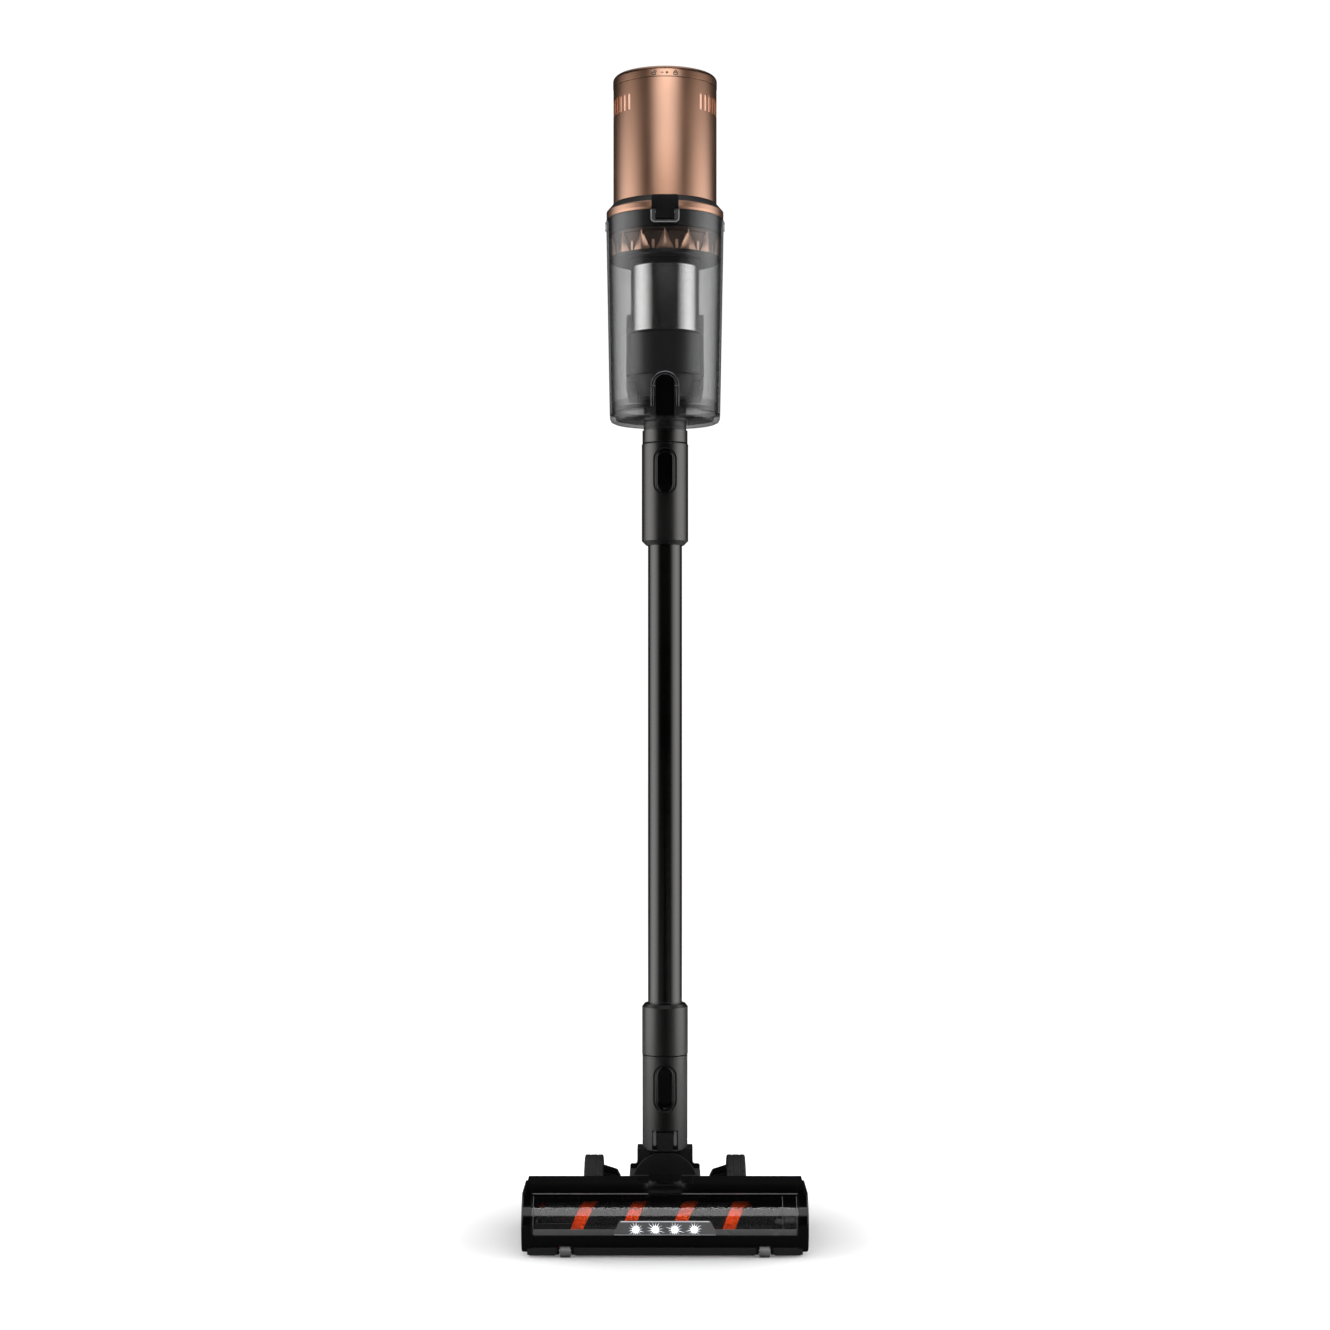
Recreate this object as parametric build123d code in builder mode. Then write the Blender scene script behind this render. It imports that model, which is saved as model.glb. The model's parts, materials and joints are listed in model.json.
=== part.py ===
"""Cordless stick vacuum, standing upright on its floor head.

Millimetres. +Z is up, +X is to the right seen from the front, and the front faces -Y.
The origin is on the floor, under the wand's centre line.
"""

import os
from math import cos, radians, sin

from build123d import *

os.makedirs("parts", exist_ok=True)

# ---------------------------------------------------------------- driving dimensions
FIT = 0.06               # radial play of a shaft in its hole

# floor head, with its side profile drawn around the nose's centre
NOSE_Y, NOSE_Z = -84.5, 27.0
HOUSING_R = 33.7         # outside of the window and the nose
SHELL = 2.5
TUNNEL_R = 28.6          # brush tunnel, inside
TUNNEL_WALL = 2.0
HEAD_SIDE = 119.0        # inner face of the end caps
HEAD_HALF = 128.25       # half of the full width
CAP_STEP, CAP_STEP_Z = 3.2, 55.0         # the end caps are narrower above this height
HEAD_REAR = -41.5
HEAD_CORNER = 10.5
HEAD_BOTTOM = 5.0
COVER_SPLIT = 47.0       # joint between the base and the top cover
HEAD_TOP = NOSE_Z + HOUSING_R
WINDOW_HIGH, WINDOW_LOW = 56.7, -9.7     # degrees above the nose's centre, seen from the front

# brush roll: its bristles just reach the floor
BRISTLE_R = 22.2
ROLL_Y, ROLL_Z = NOSE_Y, BRISTLE_R + 0.3
CORE_R, CORE_BORE = 16.5, 13.4
ROLL_MOTOR_R = 12.0
BRUSH_LEFT, BRUSH_RIGHT = -116.0, 106.0
STRIPE_LEAD = 45.4       # one turn of the helical bristle rows
STRIPE_FRONT_X = 11.6    # where the orange row crosses the front of the brush
ORANGE_WIDTH, BLACK_WIDTH = 11.5, 32.0

# wheels and neck
WHEEL_R = 34.9
TYRE_IN_R = 25.0
PITCH_Z = WHEEL_R        # the neck pitches about the wheels' axis
WHEEL_IN, WHEEL_OUT = 57.6, 75.6
ARM_IN, ARM_OUT = 41.8, 57.0
PIN_R = 9.0
BARREL_R, BARREL_HALF = 27.6, 33.0
SWIVEL_Z = 45.0
CHEEK_R = 30.6
CHEEK_IN, CHEEK_OUT = 12.0, 19.0
KNUCKLE_R, KNUCKLE_TOP = 22.0, 77.0      # its flange clears the barrel at full swivel
ROLLER_R = 5.5
ROLLER_X, ROLLER_Y = 89.0, -109.5

# neck tube and wand
NECK_R = 21.2
NECK_LOW, NECK_HIGH = 78.0, 165.3
WAND_R, WAND_BORE = 16.0, 14.8
LOWER_COLLAR_R, LOWER_COLLAR_LOW, LOWER_COLLAR_HIGH = 21.5, 165.8, 213.0
UPPER_COLLAR_R, UPPER_COLLAR_LOW, UPPER_COLLAR_HIGH = 21.8, 643.4, 738.9
SPIGOT_R, SPIGOT_LENGTH = 17.2, 43.5
SOCKET_R = SPIGOT_R + FIT
BUTTON_W, BUTTON_H = 16.0, 40.0
RECESS_W, RECESS_H = 21.8, 44.5
NECK_BUTTON_Z, WAND_BUTTON_Z = 135.5, 711.5

# hand unit: the cup and the motor share one upright axis in front of the wand
CUP_Y = -76.5
DUCT_R, DUCT_BORE, DUCT_TOP = 20.0, 16.5, 905.0
PORT_LOW, PORT_HIGH, PORT_HALF = 870.0, 890.0, 12.0
CUP_LOW, CUP_HIGH = 757.0, 932.6
CUP_R_LOW, CUP_R_HIGH = 50.2, 53.4
CUP_WALL = 1.9
LID_LOW = 749.0
LID_AXIS = (-26.0, 752.6)
PLUG_R, PLUG_TOP = 46.5, 768.0
SHROUD_LOW, MESH_LOW, MESH_HIGH, CROWN_LOW, CROWN_HIGH = 791.7, 829.0, 889.5, 898.7, 919.0
MESH_R, SKIRT_R, CONE_R = 31.0, 35.4, 26.9
CROWN_R, CROWN_COUNT = 49.8, 14
RING_LOW, RING_HIGH = 933.4, 941.0
MOTOR_R, MOTOR_LOW, MOTOR_HIGH = 46.8, 947.0, 1051.7
CAP_R, CAP_HIGH = 47.1, 1062.0
VENT_LOW, VENT_HIGH, VENT_FIRST, VENT_STEP, VENT_COUNT = 1025.4, 1040.0, 44.0, 7.35, 15

# handle and battery
REAR = 133.0
HANDLE_HALF, DOCK_HALF = 16.0, 37.0
BATTERY_LOW, BATTERY_HIGH = 794.0, 851.6
BATTERY_FRONT, BATTERY_REAR = 34.0, 131.0
CELL_R, CELL_LENGTH = 9.2, 65.0

UP = (Align.CENTER, Align.CENTER, Align.MIN)


# ---------------------------------------------------------------- shapes used again and again
def save(part, label):
    """Name a finished piece and write it."""
    part.label = label
    export_step(part, f"parts/{label}.step")


def block(x, y, z, mode=Mode.ADD):
    """Box given by its low and high limits on each axis."""
    with Locations(((x[0] + x[1]) / 2, (y[0] + y[1]) / 2, (z[0] + z[1]) / 2)):
        Box(x[1] - x[0], y[1] - y[0], z[1] - z[0], mode=mode)


def column(radius, low, high, y=0.0, x=0.0, mode=Mode.ADD):
    """Upright cylinder."""
    with Locations((x, y, low)):
        Cylinder(radius, high - low, align=UP, mode=mode)


def bar(radius, low, high, y, z, mode=Mode.ADD):
    """Cylinder along X."""
    with Locations(Location((low, y, z), (0, 90, 0))):
        Cylinder(radius, high - low, align=UP, mode=mode)


def spindle(radius, low, high, x, z, mode=Mode.ADD):
    """Cylinder along Y."""
    with Locations(Location((x, low, z), (-90, 0, 0))):
        Cylinder(radius, high - low, align=UP, mode=mode)


def turned(points, y=0.0, mode=Mode.ADD):
    """Solid of revolution about the upright line at y, from (radius, height) points."""
    with BuildSketch(Plane(origin=(0, y, 0), x_dir=(1, 0, 0), z_dir=(0, -1, 0))) as outline:
        with BuildLine():
            Polyline(*points, close=True)
        make_face()
    revolve(outline.sketch, axis=Axis((0, y, 0), (0, 0, 1)), mode=mode)


def turned_x(points, y, z, mode=Mode.ADD):
    """Solid of revolution about a line along X, from (x, radius) points."""
    with BuildSketch(Plane(origin=(0, y, z), x_dir=(1, 0, 0), z_dir=(0, -1, 0))) as outline:
        with BuildLine():
            Polyline(*points, close=True)
        make_face()
    revolve(outline.sketch, axis=Axis((0, y, z), (1, 0, 0)), mode=mode)


def arc_strip(inner, outer, start, stop, x, centre=(NOSE_Y, NOSE_Z), mode=Mode.ADD):
    """Curved strip along X around a centre in the side view; angles from +Y towards +Z."""
    with BuildSketch(Plane.YZ.offset(x[0])) as outline:
        with BuildLine():
            outside = CenterArc(centre, outer, start, stop - start)
            inside = CenterArc(centre, inner, start, stop - start)
            Line(outside @ 0, inside @ 0)
            Line(outside @ 1, inside @ 1)
        make_face()
    extrude(outline.sketch, amount=x[1] - x[0], mode=mode)


def stadium(width, height, z, y, mode=Mode.ADD):
    """Upright slot shape standing across Y between two depths."""
    with BuildSketch(Plane(origin=(0, y[0], z), x_dir=(1, 0, 0), z_dir=(0, 1, 0))) as outline:
        SlotOverall(height, width, rotation=90)
    extrude(outline.sketch, amount=y[1] - y[0], mode=mode)


def side_profile(x):
    """The floor head's full side outline as a plate between two places along X."""
    corner_y, corner_z = HEAD_REAR - HEAD_CORNER, HEAD_TOP - HEAD_CORNER
    drop = NOSE_Z - HEAD_BOTTOM
    reach = (HOUSING_R**2 - drop**2) ** 0.5
    with BuildSketch(Plane.YZ.offset(x[0])) as outline:
        with BuildLine():
            front = ThreePointArc(
                (NOSE_Y - reach, HEAD_BOTTOM), (NOSE_Y - HOUSING_R, NOSE_Z), (NOSE_Y, HEAD_TOP)
            )
            back = CenterArc((corner_y, corner_z), HEAD_CORNER, 90, -90)
            Line(front @ 1, back @ 0)
            Polyline(back @ 1, (HEAD_REAR, HEAD_BOTTOM), front @ 0)
        make_face()
    extrude(outline.sketch, amount=x[1] - x[0])


def release_button(z, outer, inner):
    """Curved stadium button, with its middle at z, between two radii of its tube."""
    with BuildPart() as button:
        stadium(BUTTON_W, BUTTON_H, z, (-outer - 1, -inner + 5))
        with BuildPart(mode=Mode.PRIVATE) as skin:
            column(outer, z - BUTTON_H, z + BUTTON_H)
            column(inner, z - BUTTON_H, z + BUTTON_H, mode=Mode.SUBTRACT)
        add(skin.part, mode=Mode.INTERSECT)
    return button.part


def button_seat(z, outer, through):
    """Cut a shallow stadium dish and the button's window into a collar."""
    with BuildPart(mode=Mode.PRIVATE) as dish:
        stadium(RECESS_W, RECESS_H, z, (-outer - 2, -outer + 8))
        column(outer - 1.1, z - RECESS_H, z + RECESS_H, mode=Mode.SUBTRACT)
    add(dish.part, mode=Mode.SUBTRACT)
    stadium(BUTTON_W + 0.8, BUTTON_H + 0.8, z, (-outer - 2, -through), mode=Mode.SUBTRACT)


# ---------------------------------------------------------------- floor head
THROAT_HALF, THROAT_LOW, THROAT_HIGH = 14.5, 19.0, 45.0
PARTITION = 2.2          # floor and rear wall of the base

with BuildPart() as head_base:
    full_width = (-HEAD_SIDE, HEAD_SIDE)
    block(full_width, (NOSE_Y + 21, HEAD_REAR), (HEAD_BOTTOM, HEAD_BOTTOM + PARTITION))
    block(full_width, (HEAD_REAR - PARTITION, HEAD_REAR), (HEAD_BOTTOM, COVER_SPLIT))
    for side in (-1, 1):
        for near, far in ((THROAT_HALF, THROAT_HALF + 2.5), (HEAD_SIDE - 2, HEAD_SIDE)):
            wall = sorted((side * near, side * far))
            block(wall, (NOSE_Y + 22, HEAD_REAR), (HEAD_BOTTOM, COVER_SPLIT))
        turned_x(
            [(side * ARM_IN, PIN_R), (side * ARM_IN, 16), (side * (ARM_IN + 2.8), 21.5),
             (side * ARM_OUT, 25.4), (side * ARM_OUT, PIN_R)], 0, PITCH_Z,
        )
        arm = sorted((side * (ARM_IN + 1.6), side * ARM_OUT))
        block(arm, (HEAD_REAR - 1, -10), (14, COVER_SPLIT))
    block((-THROAT_HALF - 2.5, THROAT_HALF + 2.5), (HEAD_REAR - 1, -23), (16.5, COVER_SPLIT))
    bar(TUNNEL_R + 1, *full_width, NOSE_Y, NOSE_Z, mode=Mode.SUBTRACT)
    arc_strip(TUNNEL_R, TUNNEL_R + TUNNEL_WALL, -46, 92, full_width)
    bar(BARREL_R + 1.6, -40, 40, 0, PITCH_Z, mode=Mode.SUBTRACT)
    arc_strip(
        BARREL_R + 0.6, BARREL_R + 2.8, 150, 275, (-THROAT_HALF - 2.5, THROAT_HALF + 2.5),
        centre=(0, PITCH_Z),
    )
    for side in (-1, 1):
        bar(PIN_R, *sorted((side * 35, side * 60)), 0, PITCH_Z, mode=Mode.SUBTRACT)
    block((-THROAT_HALF, THROAT_HALF), (NOSE_Y + 20, -20), (THROAT_LOW, THROAT_HIGH),
          mode=Mode.SUBTRACT)
save(head_base.part, "head_base")

with BuildPart() as head_top_cover:
    with BuildSketch(Plane.YZ.offset(-HEAD_SIDE)):
        with BuildLine():
            corner = (HEAD_REAR - HEAD_CORNER, HEAD_TOP - HEAD_CORNER)
            nose = CenterArc((NOSE_Y, NOSE_Z), HOUSING_R, 180 - WINDOW_HIGH, WINDOW_HIGH - 90)
            back = CenterArc(corner, HEAD_CORNER, 90, -90)
            Line(nose @ 1, back @ 0)
            inner_back = CenterArc(corner, HEAD_CORNER - SHELL, 0, 90)
            Polyline(
                back @ 1, (HEAD_REAR, COVER_SPLIT), (HEAD_REAR - SHELL, COVER_SPLIT), inner_back @ 0
            )
            inner_nose = CenterArc(
                (NOSE_Y, NOSE_Z), HOUSING_R - SHELL, 90, 90 - WINDOW_HIGH
            )
            Line(inner_back @ 1, inner_nose @ 0)
            Line(inner_nose @ 1, nose @ 0)
        make_face()
    extrude(amount=2 * HEAD_SIDE)
save(head_top_cover.part, "head_top_cover")

with BuildPart() as duct_cover:
    arc_strip(HOUSING_R, HOUSING_R + 1.8, 90, 128, (-15, 15))
    block((-15, 15), (NOSE_Y, HEAD_REAR - HEAD_CORNER), (HEAD_TOP, HEAD_TOP + 1.8))
    fillet(duct_cover.edges().filter_by(Axis.X).group_by(Axis.Z)[-1].sort_by(Axis.Y)[-1], radius=1.2)
save(duct_cover.part, "duct_cover")

with BuildPart() as brush_window:
    arc_strip(
        HOUSING_R - SHELL, HOUSING_R, 180 - WINDOW_HIGH, 180 - WINDOW_LOW, (-HEAD_SIDE, HEAD_SIDE)
    )
save(brush_window.part, "brush_window")

BEARING_R, STUB_R = 9.0, 5.0     # bearing at the brush's free end and the stub that turns in it

for label, side in (("left", -1), ("right", 1)):
    with BuildPart() as end_cap:
        side_profile(sorted((side * HEAD_SIDE, side * HEAD_HALF)))
        outer_face = end_cap.faces().sort_by(Axis.X)[0 if side < 0 else -1]
        fillet(outer_face.edges(), radius=2)
        step = sorted((side * (HEAD_HALF - CAP_STEP), side * HEAD_HALF))
        block(step, (NOSE_Y - HOUSING_R, HEAD_REAR), (CAP_STEP_Z, HEAD_TOP), mode=Mode.SUBTRACT)
        if side < 0:
            bar(BEARING_R, -HEAD_SIDE - 5, -HEAD_SIDE, ROLL_Y, ROLL_Z, mode=Mode.SUBTRACT)
    save(end_cap.part, f"end_cap_{label}")

with BuildPart() as front_bumper:
    arc_strip(30.4, HOUSING_R, 190.2, 206.4, (-HEAD_SIDE, HEAD_SIDE))
    arc_strip(30.4, HOUSING_R - 0.6, 206.4, 217.5, (-HEAD_SIDE, HEAD_SIDE))
    for side in (-1, 1):
        centre = side * ROLLER_X
        block((centre - 7.5, centre + 7.5), (ROLLER_Y - 3.6, ROLLER_Y + 6), (3.2, 12.4))
        slot = (centre - 5.4, centre + 5.4)
        block(slot, (ROLLER_Y - 9, ROLLER_Y + 9), (0, 2 * ROLLER_R + 0.6), mode=Mode.SUBTRACT)
        bar(1.5, centre - 7.5, centre + 7.5, ROLLER_Y, ROLLER_R, mode=Mode.SUBTRACT)
    bar(TUNNEL_R - 0.4, -HEAD_SIDE, HEAD_SIDE, NOSE_Y, NOSE_Z, mode=Mode.SUBTRACT)
save(front_bumper.part, "front_bumper")

LAMP_PLACES = (-25.95, -8.65, 8.65, 25.95)
LAMP_R, LAMP_Z = 3.5, 27.2

with BuildPart() as led_housing:
    with BuildSketch(Plane(origin=(0, -121, 0), x_dir=(1, 0, 0), z_dir=(0, -1, 0))):
        with BuildLine():
            Polyline((-46.5, 22.3), (46.5, 22.3), (40.4, 34.5), (-40.4, 34.5), close=True)
        make_face()
    extrude(amount=-8)
    fillet(led_housing.edges().filter_by(Axis.X).group_by(Axis.Y)[0], radius=1.0)
    bar(HOUSING_R + 0.02, -60, 60, NOSE_Y, NOSE_Z, mode=Mode.SUBTRACT)
    for lamp_x in LAMP_PLACES:
        spindle(LAMP_R, -122, -120, lamp_x, LAMP_Z, mode=Mode.SUBTRACT)
save(led_housing.part, "led_housing")

with BuildPart() as led_lights:
    for lamp_x in LAMP_PLACES:
        spindle(LAMP_R, -121.4, -120, lamp_x, LAMP_Z)
save(led_lights.part, "led_lights")

with BuildPart() as axles:
    for side in (-1, 1):
        turned_x(
            [(side * 24, 0), (side * 24, 7), (side * 33.5, 7), (side * 33.5, PIN_R),
             (side * ARM_OUT, PIN_R), (side * ARM_OUT, 4), (side * 73, 4), (side * 73, 7),
             (side * 74.5, 7), (side * 74.5, 0)], 0, PITCH_Z,
        )
        bar(1.5, side * ROLLER_X - 7.5, side * ROLLER_X + 7.5, ROLLER_Y, ROLLER_R)
save(axles.part, "axles")

with BuildPart() as roller_motor:
    bar(ROLL_MOTOR_R, 22, BRUSH_RIGHT + 1, ROLL_Y, ROLL_Z)
    bar(21, BRUSH_RIGHT + 1, HEAD_SIDE, ROLL_Y, ROLL_Z)
    chamfer(roller_motor.edges().filter_by(GeomType.CIRCLE).group_by(Axis.X)[0], length=1)
save(roller_motor.part, "roller_motor")

with BuildPart() as brush_bearings:
    for inner, outer, low, high in (
        (STUB_R + FIT, BEARING_R, -HEAD_SIDE - 5, -HEAD_SIDE),
        (ROLL_MOTOR_R, CORE_BORE - FIT, 98, 104),
    ):
        bar(outer, low, high, ROLL_Y, ROLL_Z)
        bar(inner, low, high, ROLL_Y, ROLL_Z, mode=Mode.SUBTRACT)
save(brush_bearings.part, "brush_bearings")

# ---------------------------------------------------------------- brush roll
with BuildPart() as brush_core:
    bar(CORE_R, BRUSH_LEFT, BRUSH_RIGHT, ROLL_Y, ROLL_Z)
    bar(CORE_BORE, BRUSH_LEFT + 5, BRUSH_RIGHT, ROLL_Y, ROLL_Z, mode=Mode.SUBTRACT)
    bar(CORE_BORE + 1, 8, 14, ROLL_Y, ROLL_Z)
    bar(4, 14, 21.5, ROLL_Y, ROLL_Z)
    bar(STUB_R, -HEAD_SIDE - 4.4, BRUSH_LEFT, ROLL_Y, ROLL_Z)
save(brush_core.part, "brush_core")


def bristle_row(front_x, width, tip):
    """Left-handed helical row of bristles, crossing the front of the brush at front_x."""
    low, high = BRUSH_LEFT + width / 2 + 1, BRUSH_RIGHT - width / 2 - 1
    foot = Vector(low, ROLL_Y, ROLL_Z)
    middle = (CORE_R + tip) / 2
    phase = 180 + 360 * (front_x - low) / STRIPE_LEAD
    radial = Vector(0, cos(radians(phase)), sin(radians(phase)))
    with BuildPart() as row:
        with BuildLine() as route:
            Helix(
                STRIPE_LEAD, high - low, middle, center=foot, direction=(1, 0, 0), lefthand=True
            )
        turn = (route.line @ 0 - foot).get_signed_angle(radial, Vector(1, 0, 0))
        path = route.line.rotate(Axis(foot, (1, 0, 0)), turn)
        across = Plane(origin=path @ 0, x_dir=(1, 0, 0), z_dir=Vector(1, 0, 0).cross(radial))
        with BuildSketch(across) as section:
            Rectangle(width, tip - CORE_R)
        sweep(section.sketch, path=path, is_frenet=True)
    return row.part


save(bristle_row(STRIPE_FRONT_X, ORANGE_WIDTH, BRISTLE_R), "bristles_orange")
save(bristle_row(STRIPE_FRONT_X + STRIPE_LEAD / 2, BLACK_WIDTH, BRISTLE_R - 1), "bristles_black")

# ---------------------------------------------------------------- wheels
for label, side in (("left", -1), ("right", 1)):
    centre = side * ROLLER_X
    with BuildPart() as front_roller:
        bar(ROLLER_R, centre - 4.7, centre + 4.7, ROLLER_Y, ROLLER_R)
        fillet(front_roller.edges().filter_by(GeomType.CIRCLE), radius=1)
        bar(1.5 + FIT, centre - 5, centre + 5, ROLLER_Y, ROLLER_R, mode=Mode.SUBTRACT)
    save(front_roller.part, f"front_roller_{label}")

    with BuildPart() as rear_hub:
        turned_x(
            [(side * WHEEL_IN, 4 + FIT), (side * WHEEL_IN, TYRE_IN_R), (side * 74.6, TYRE_IN_R),
             (side * 74.6, 20),
             (side * 73.4, 18), (side * 73.4, 12), (side * 75.2, 11), (side * 75.2, 8.5),
             (side * 72.6, 8.5), (side * 72.6, 4 + FIT)], 0, PITCH_Z,
        )
    save(rear_hub.part, f"rear_hub_{label}")

    with BuildPart() as rear_tyre:
        turned_x(
            [(side * WHEEL_IN, TYRE_IN_R), (side * WHEEL_IN, WHEEL_R - 1.2),
             (side * (WHEEL_IN + 1.2), WHEEL_R), (side * (WHEEL_OUT - 1.2), WHEEL_R),
             (side * WHEEL_OUT, WHEEL_R - 1.2), (side * WHEEL_OUT, TYRE_IN_R)], 0, PITCH_Z,
        )
    save(rear_tyre.part, f"rear_tyre_{label}")

# ---------------------------------------------------------------- neck
with BuildPart() as neck_base:
    bar(BARREL_R, -BARREL_HALF, BARREL_HALF, 0, PITCH_Z)
    fillet(neck_base.edges().filter_by(GeomType.CIRCLE), radius=2)
    spindle(CHEEK_R, -CHEEK_OUT, CHEEK_OUT, 0, SWIVEL_Z)
    block((-40, 40), (-CHEEK_IN, CHEEK_IN), (SWIVEL_Z - 3, 90), mode=Mode.SUBTRACT)
    spindle(KNUCKLE_R + 0.6, -CHEEK_IN, CHEEK_IN, 0, SWIVEL_Z, mode=Mode.SUBTRACT)
    block((-14, 14), (-40, CHEEK_IN), (0, PITCH_Z + 1), mode=Mode.SUBTRACT)
    for side in (-1, 1):
        bore = sorted((side * 23.8, side * 40))
        bar(7 + FIT, *bore, 0, PITCH_Z, mode=Mode.SUBTRACT)
        spindle(4, *sorted((side * 10, side * 20)), 0, SWIVEL_Z, mode=Mode.SUBTRACT)
save(neck_base.part, "neck_base")

with BuildPart() as swivel_pins:
    for side in (-1, 1):
        spindle(4, *sorted((side * 7.6, side * CHEEK_OUT)), 0, SWIVEL_Z)
save(swivel_pins.part, "swivel_pins")

with BuildPart() as neck_knuckle:
    thick = CHEEK_IN - 0.5
    spindle(KNUCKLE_R, -thick, thick, 0, SWIVEL_Z)
    block((-19, 19), (-thick, thick), (SWIVEL_Z, KNUCKLE_TOP + 0.2))
    for side in (-1, 1):
        ear = sorted((side * 18, side * 26))
        block(ear, (-thick, thick), (66, 78))
    column(NECK_R - 0.4, KNUCKLE_TOP, NECK_LOW)
    column(15.4, NECK_LOW, 100)
    spindle(KNUCKLE_R - 2.5, -thick + 2.2, thick - 2.2, 0, SWIVEL_Z, mode=Mode.SUBTRACT)
    block((-16.5, 16.5), (-thick + 2.2, thick - 2.2), (SWIVEL_Z, NECK_LOW), mode=Mode.SUBTRACT)
    column(9.3, 70, NECK_LOW + 0.1, mode=Mode.SUBTRACT)
    column(13, NECK_LOW, 101, mode=Mode.SUBTRACT)
    block((-30, 30), (-30, 30), (0, SWIVEL_Z - 8), mode=Mode.SUBTRACT)
    spindle(4 + FIT, -20, 20, 0, SWIVEL_Z, mode=Mode.SUBTRACT)
    block((-7.1, 7.1), (-NECK_R + 0.6, -14.6), (KNUCKLE_TOP, 94))
save(neck_knuckle.part, "neck_knuckle")

with BuildPart() as neck_tube:
    column(NECK_R, NECK_LOW, NECK_HIGH)
    chamfer(neck_tube.edges().group_by(Axis.Z)[-1], length=0.6)
    column(15.4, NECK_LOW, 100, mode=Mode.SUBTRACT)
    column(WAND_BORE, 99, 119, mode=Mode.SUBTRACT)
    column(SOCKET_R, 119, NECK_HIGH, mode=Mode.SUBTRACT)
    button_seat(NECK_BUTTON_Z, NECK_R, SOCKET_R - 2)
    block((-12, 12), (-NECK_R - 1, -14.5), (NECK_LOW - 1, 96), mode=Mode.SUBTRACT)
save(neck_tube.part, "neck_tube")

save(release_button(NECK_BUTTON_Z, NECK_R - 0.3, 18.6), "neck_button")

# ---------------------------------------------------------------- wand
with BuildPart() as wand_tube:
    column(WAND_R, LOWER_COLLAR_LOW + 2, UPPER_COLLAR_HIGH - SPIGOT_LENGTH - 3)
    column(WAND_BORE, LOWER_COLLAR_LOW + 2, UPPER_COLLAR_HIGH, mode=Mode.SUBTRACT)
save(wand_tube.part, "wand_tube")

with BuildPart() as wand_lower_collar:
    turned([
        (WAND_BORE, LOWER_COLLAR_LOW - SPIGOT_LENGTH), (SPIGOT_R, LOWER_COLLAR_LOW - SPIGOT_LENGTH),
        (SPIGOT_R, LOWER_COLLAR_LOW), (LOWER_COLLAR_R, LOWER_COLLAR_LOW),
        (LOWER_COLLAR_R, LOWER_COLLAR_HIGH - 3), (LOWER_COLLAR_R - 2.4, LOWER_COLLAR_HIGH),
        (WAND_R, LOWER_COLLAR_HIGH), (WAND_R, LOWER_COLLAR_LOW + 2), (WAND_BORE, LOWER_COLLAR_LOW + 2),
    ])
save(wand_lower_collar.part, "wand_lower_collar")

with BuildPart() as wand_upper_collar:
    stop = UPPER_COLLAR_HIGH - SPIGOT_LENGTH - 0.6
    turned([
        (WAND_R, UPPER_COLLAR_LOW), (UPPER_COLLAR_R - 4, UPPER_COLLAR_LOW),
        (UPPER_COLLAR_R, UPPER_COLLAR_LOW + 4), (UPPER_COLLAR_R, UPPER_COLLAR_HIGH - 0.8),
        (UPPER_COLLAR_R - 0.8, UPPER_COLLAR_HIGH), (SOCKET_R, UPPER_COLLAR_HIGH),
        (SOCKET_R, stop), (WAND_BORE, stop), (WAND_BORE, stop - 2.4), (WAND_R, stop - 2.4),
    ])
    button_seat(WAND_BUTTON_Z, UPPER_COLLAR_R, SOCKET_R - 2)
save(wand_upper_collar.part, "wand_upper_collar")

save(release_button(WAND_BUTTON_Z, UPPER_COLLAR_R - 0.3, 18.6), "wand_button")

# ---------------------------------------------------------------- hand unit: air path
with BuildPart() as inlet_duct:
    foot = UPPER_COLLAR_HIGH + 0.5
    turned([
        (WAND_BORE, foot - SPIGOT_LENGTH), (SPIGOT_R, foot - SPIGOT_LENGTH), (SPIGOT_R, foot),
        (NECK_R, foot), (NECK_R, foot + 11.6), (DUCT_R, foot + 11.6), (DUCT_R, DUCT_TOP),
        (0, DUCT_TOP), (0, DUCT_TOP - 3), (DUCT_BORE, DUCT_TOP - 3), (DUCT_BORE, foot + 14),
        (WAND_BORE, foot + 10),
    ])
    block((-15, 15), (-26, 0), (PORT_LOW - 4, PORT_HIGH + 4))
    column(DUCT_BORE, foot + 20, DUCT_TOP - 3, mode=Mode.SUBTRACT)
    block((-PORT_HALF, PORT_HALF), (-30, 0), (PORT_LOW, PORT_HIGH), mode=Mode.SUBTRACT)
    column(CUP_R_HIGH + 0.4, PORT_LOW - 10, PORT_HIGH + 10, y=CUP_Y, mode=Mode.SUBTRACT)
save(inlet_duct.part, "inlet_duct")

with BuildPart() as cyclone_head:
    turned([
        (36, CROWN_HIGH + 0.2), (51.0, CROWN_HIGH + 0.2), (51.0, CUP_HIGH + 0.4),
        (52, CUP_HIGH + 0.4), (52, RING_LOW), (47, RING_LOW), (47, RING_HIGH), (52, RING_HIGH),
        (MOTOR_R, MOTOR_LOW), (20, MOTOR_LOW), (20, MOTOR_LOW - 3), (43, MOTOR_LOW - 3),
        (43, 936), (40, 932), (36, 932),
    ], CUP_Y)
save(cyclone_head.part, "cyclone_head")

with BuildPart() as clamp_ring:
    turned([(47, RING_LOW), (52, RING_LOW), (53.05, RING_LOW + 2), (53.05, RING_HIGH - 1.2),
            (52, RING_HIGH), (47, RING_HIGH)], CUP_Y)
save(clamp_ring.part, "clamp_ring")

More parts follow.
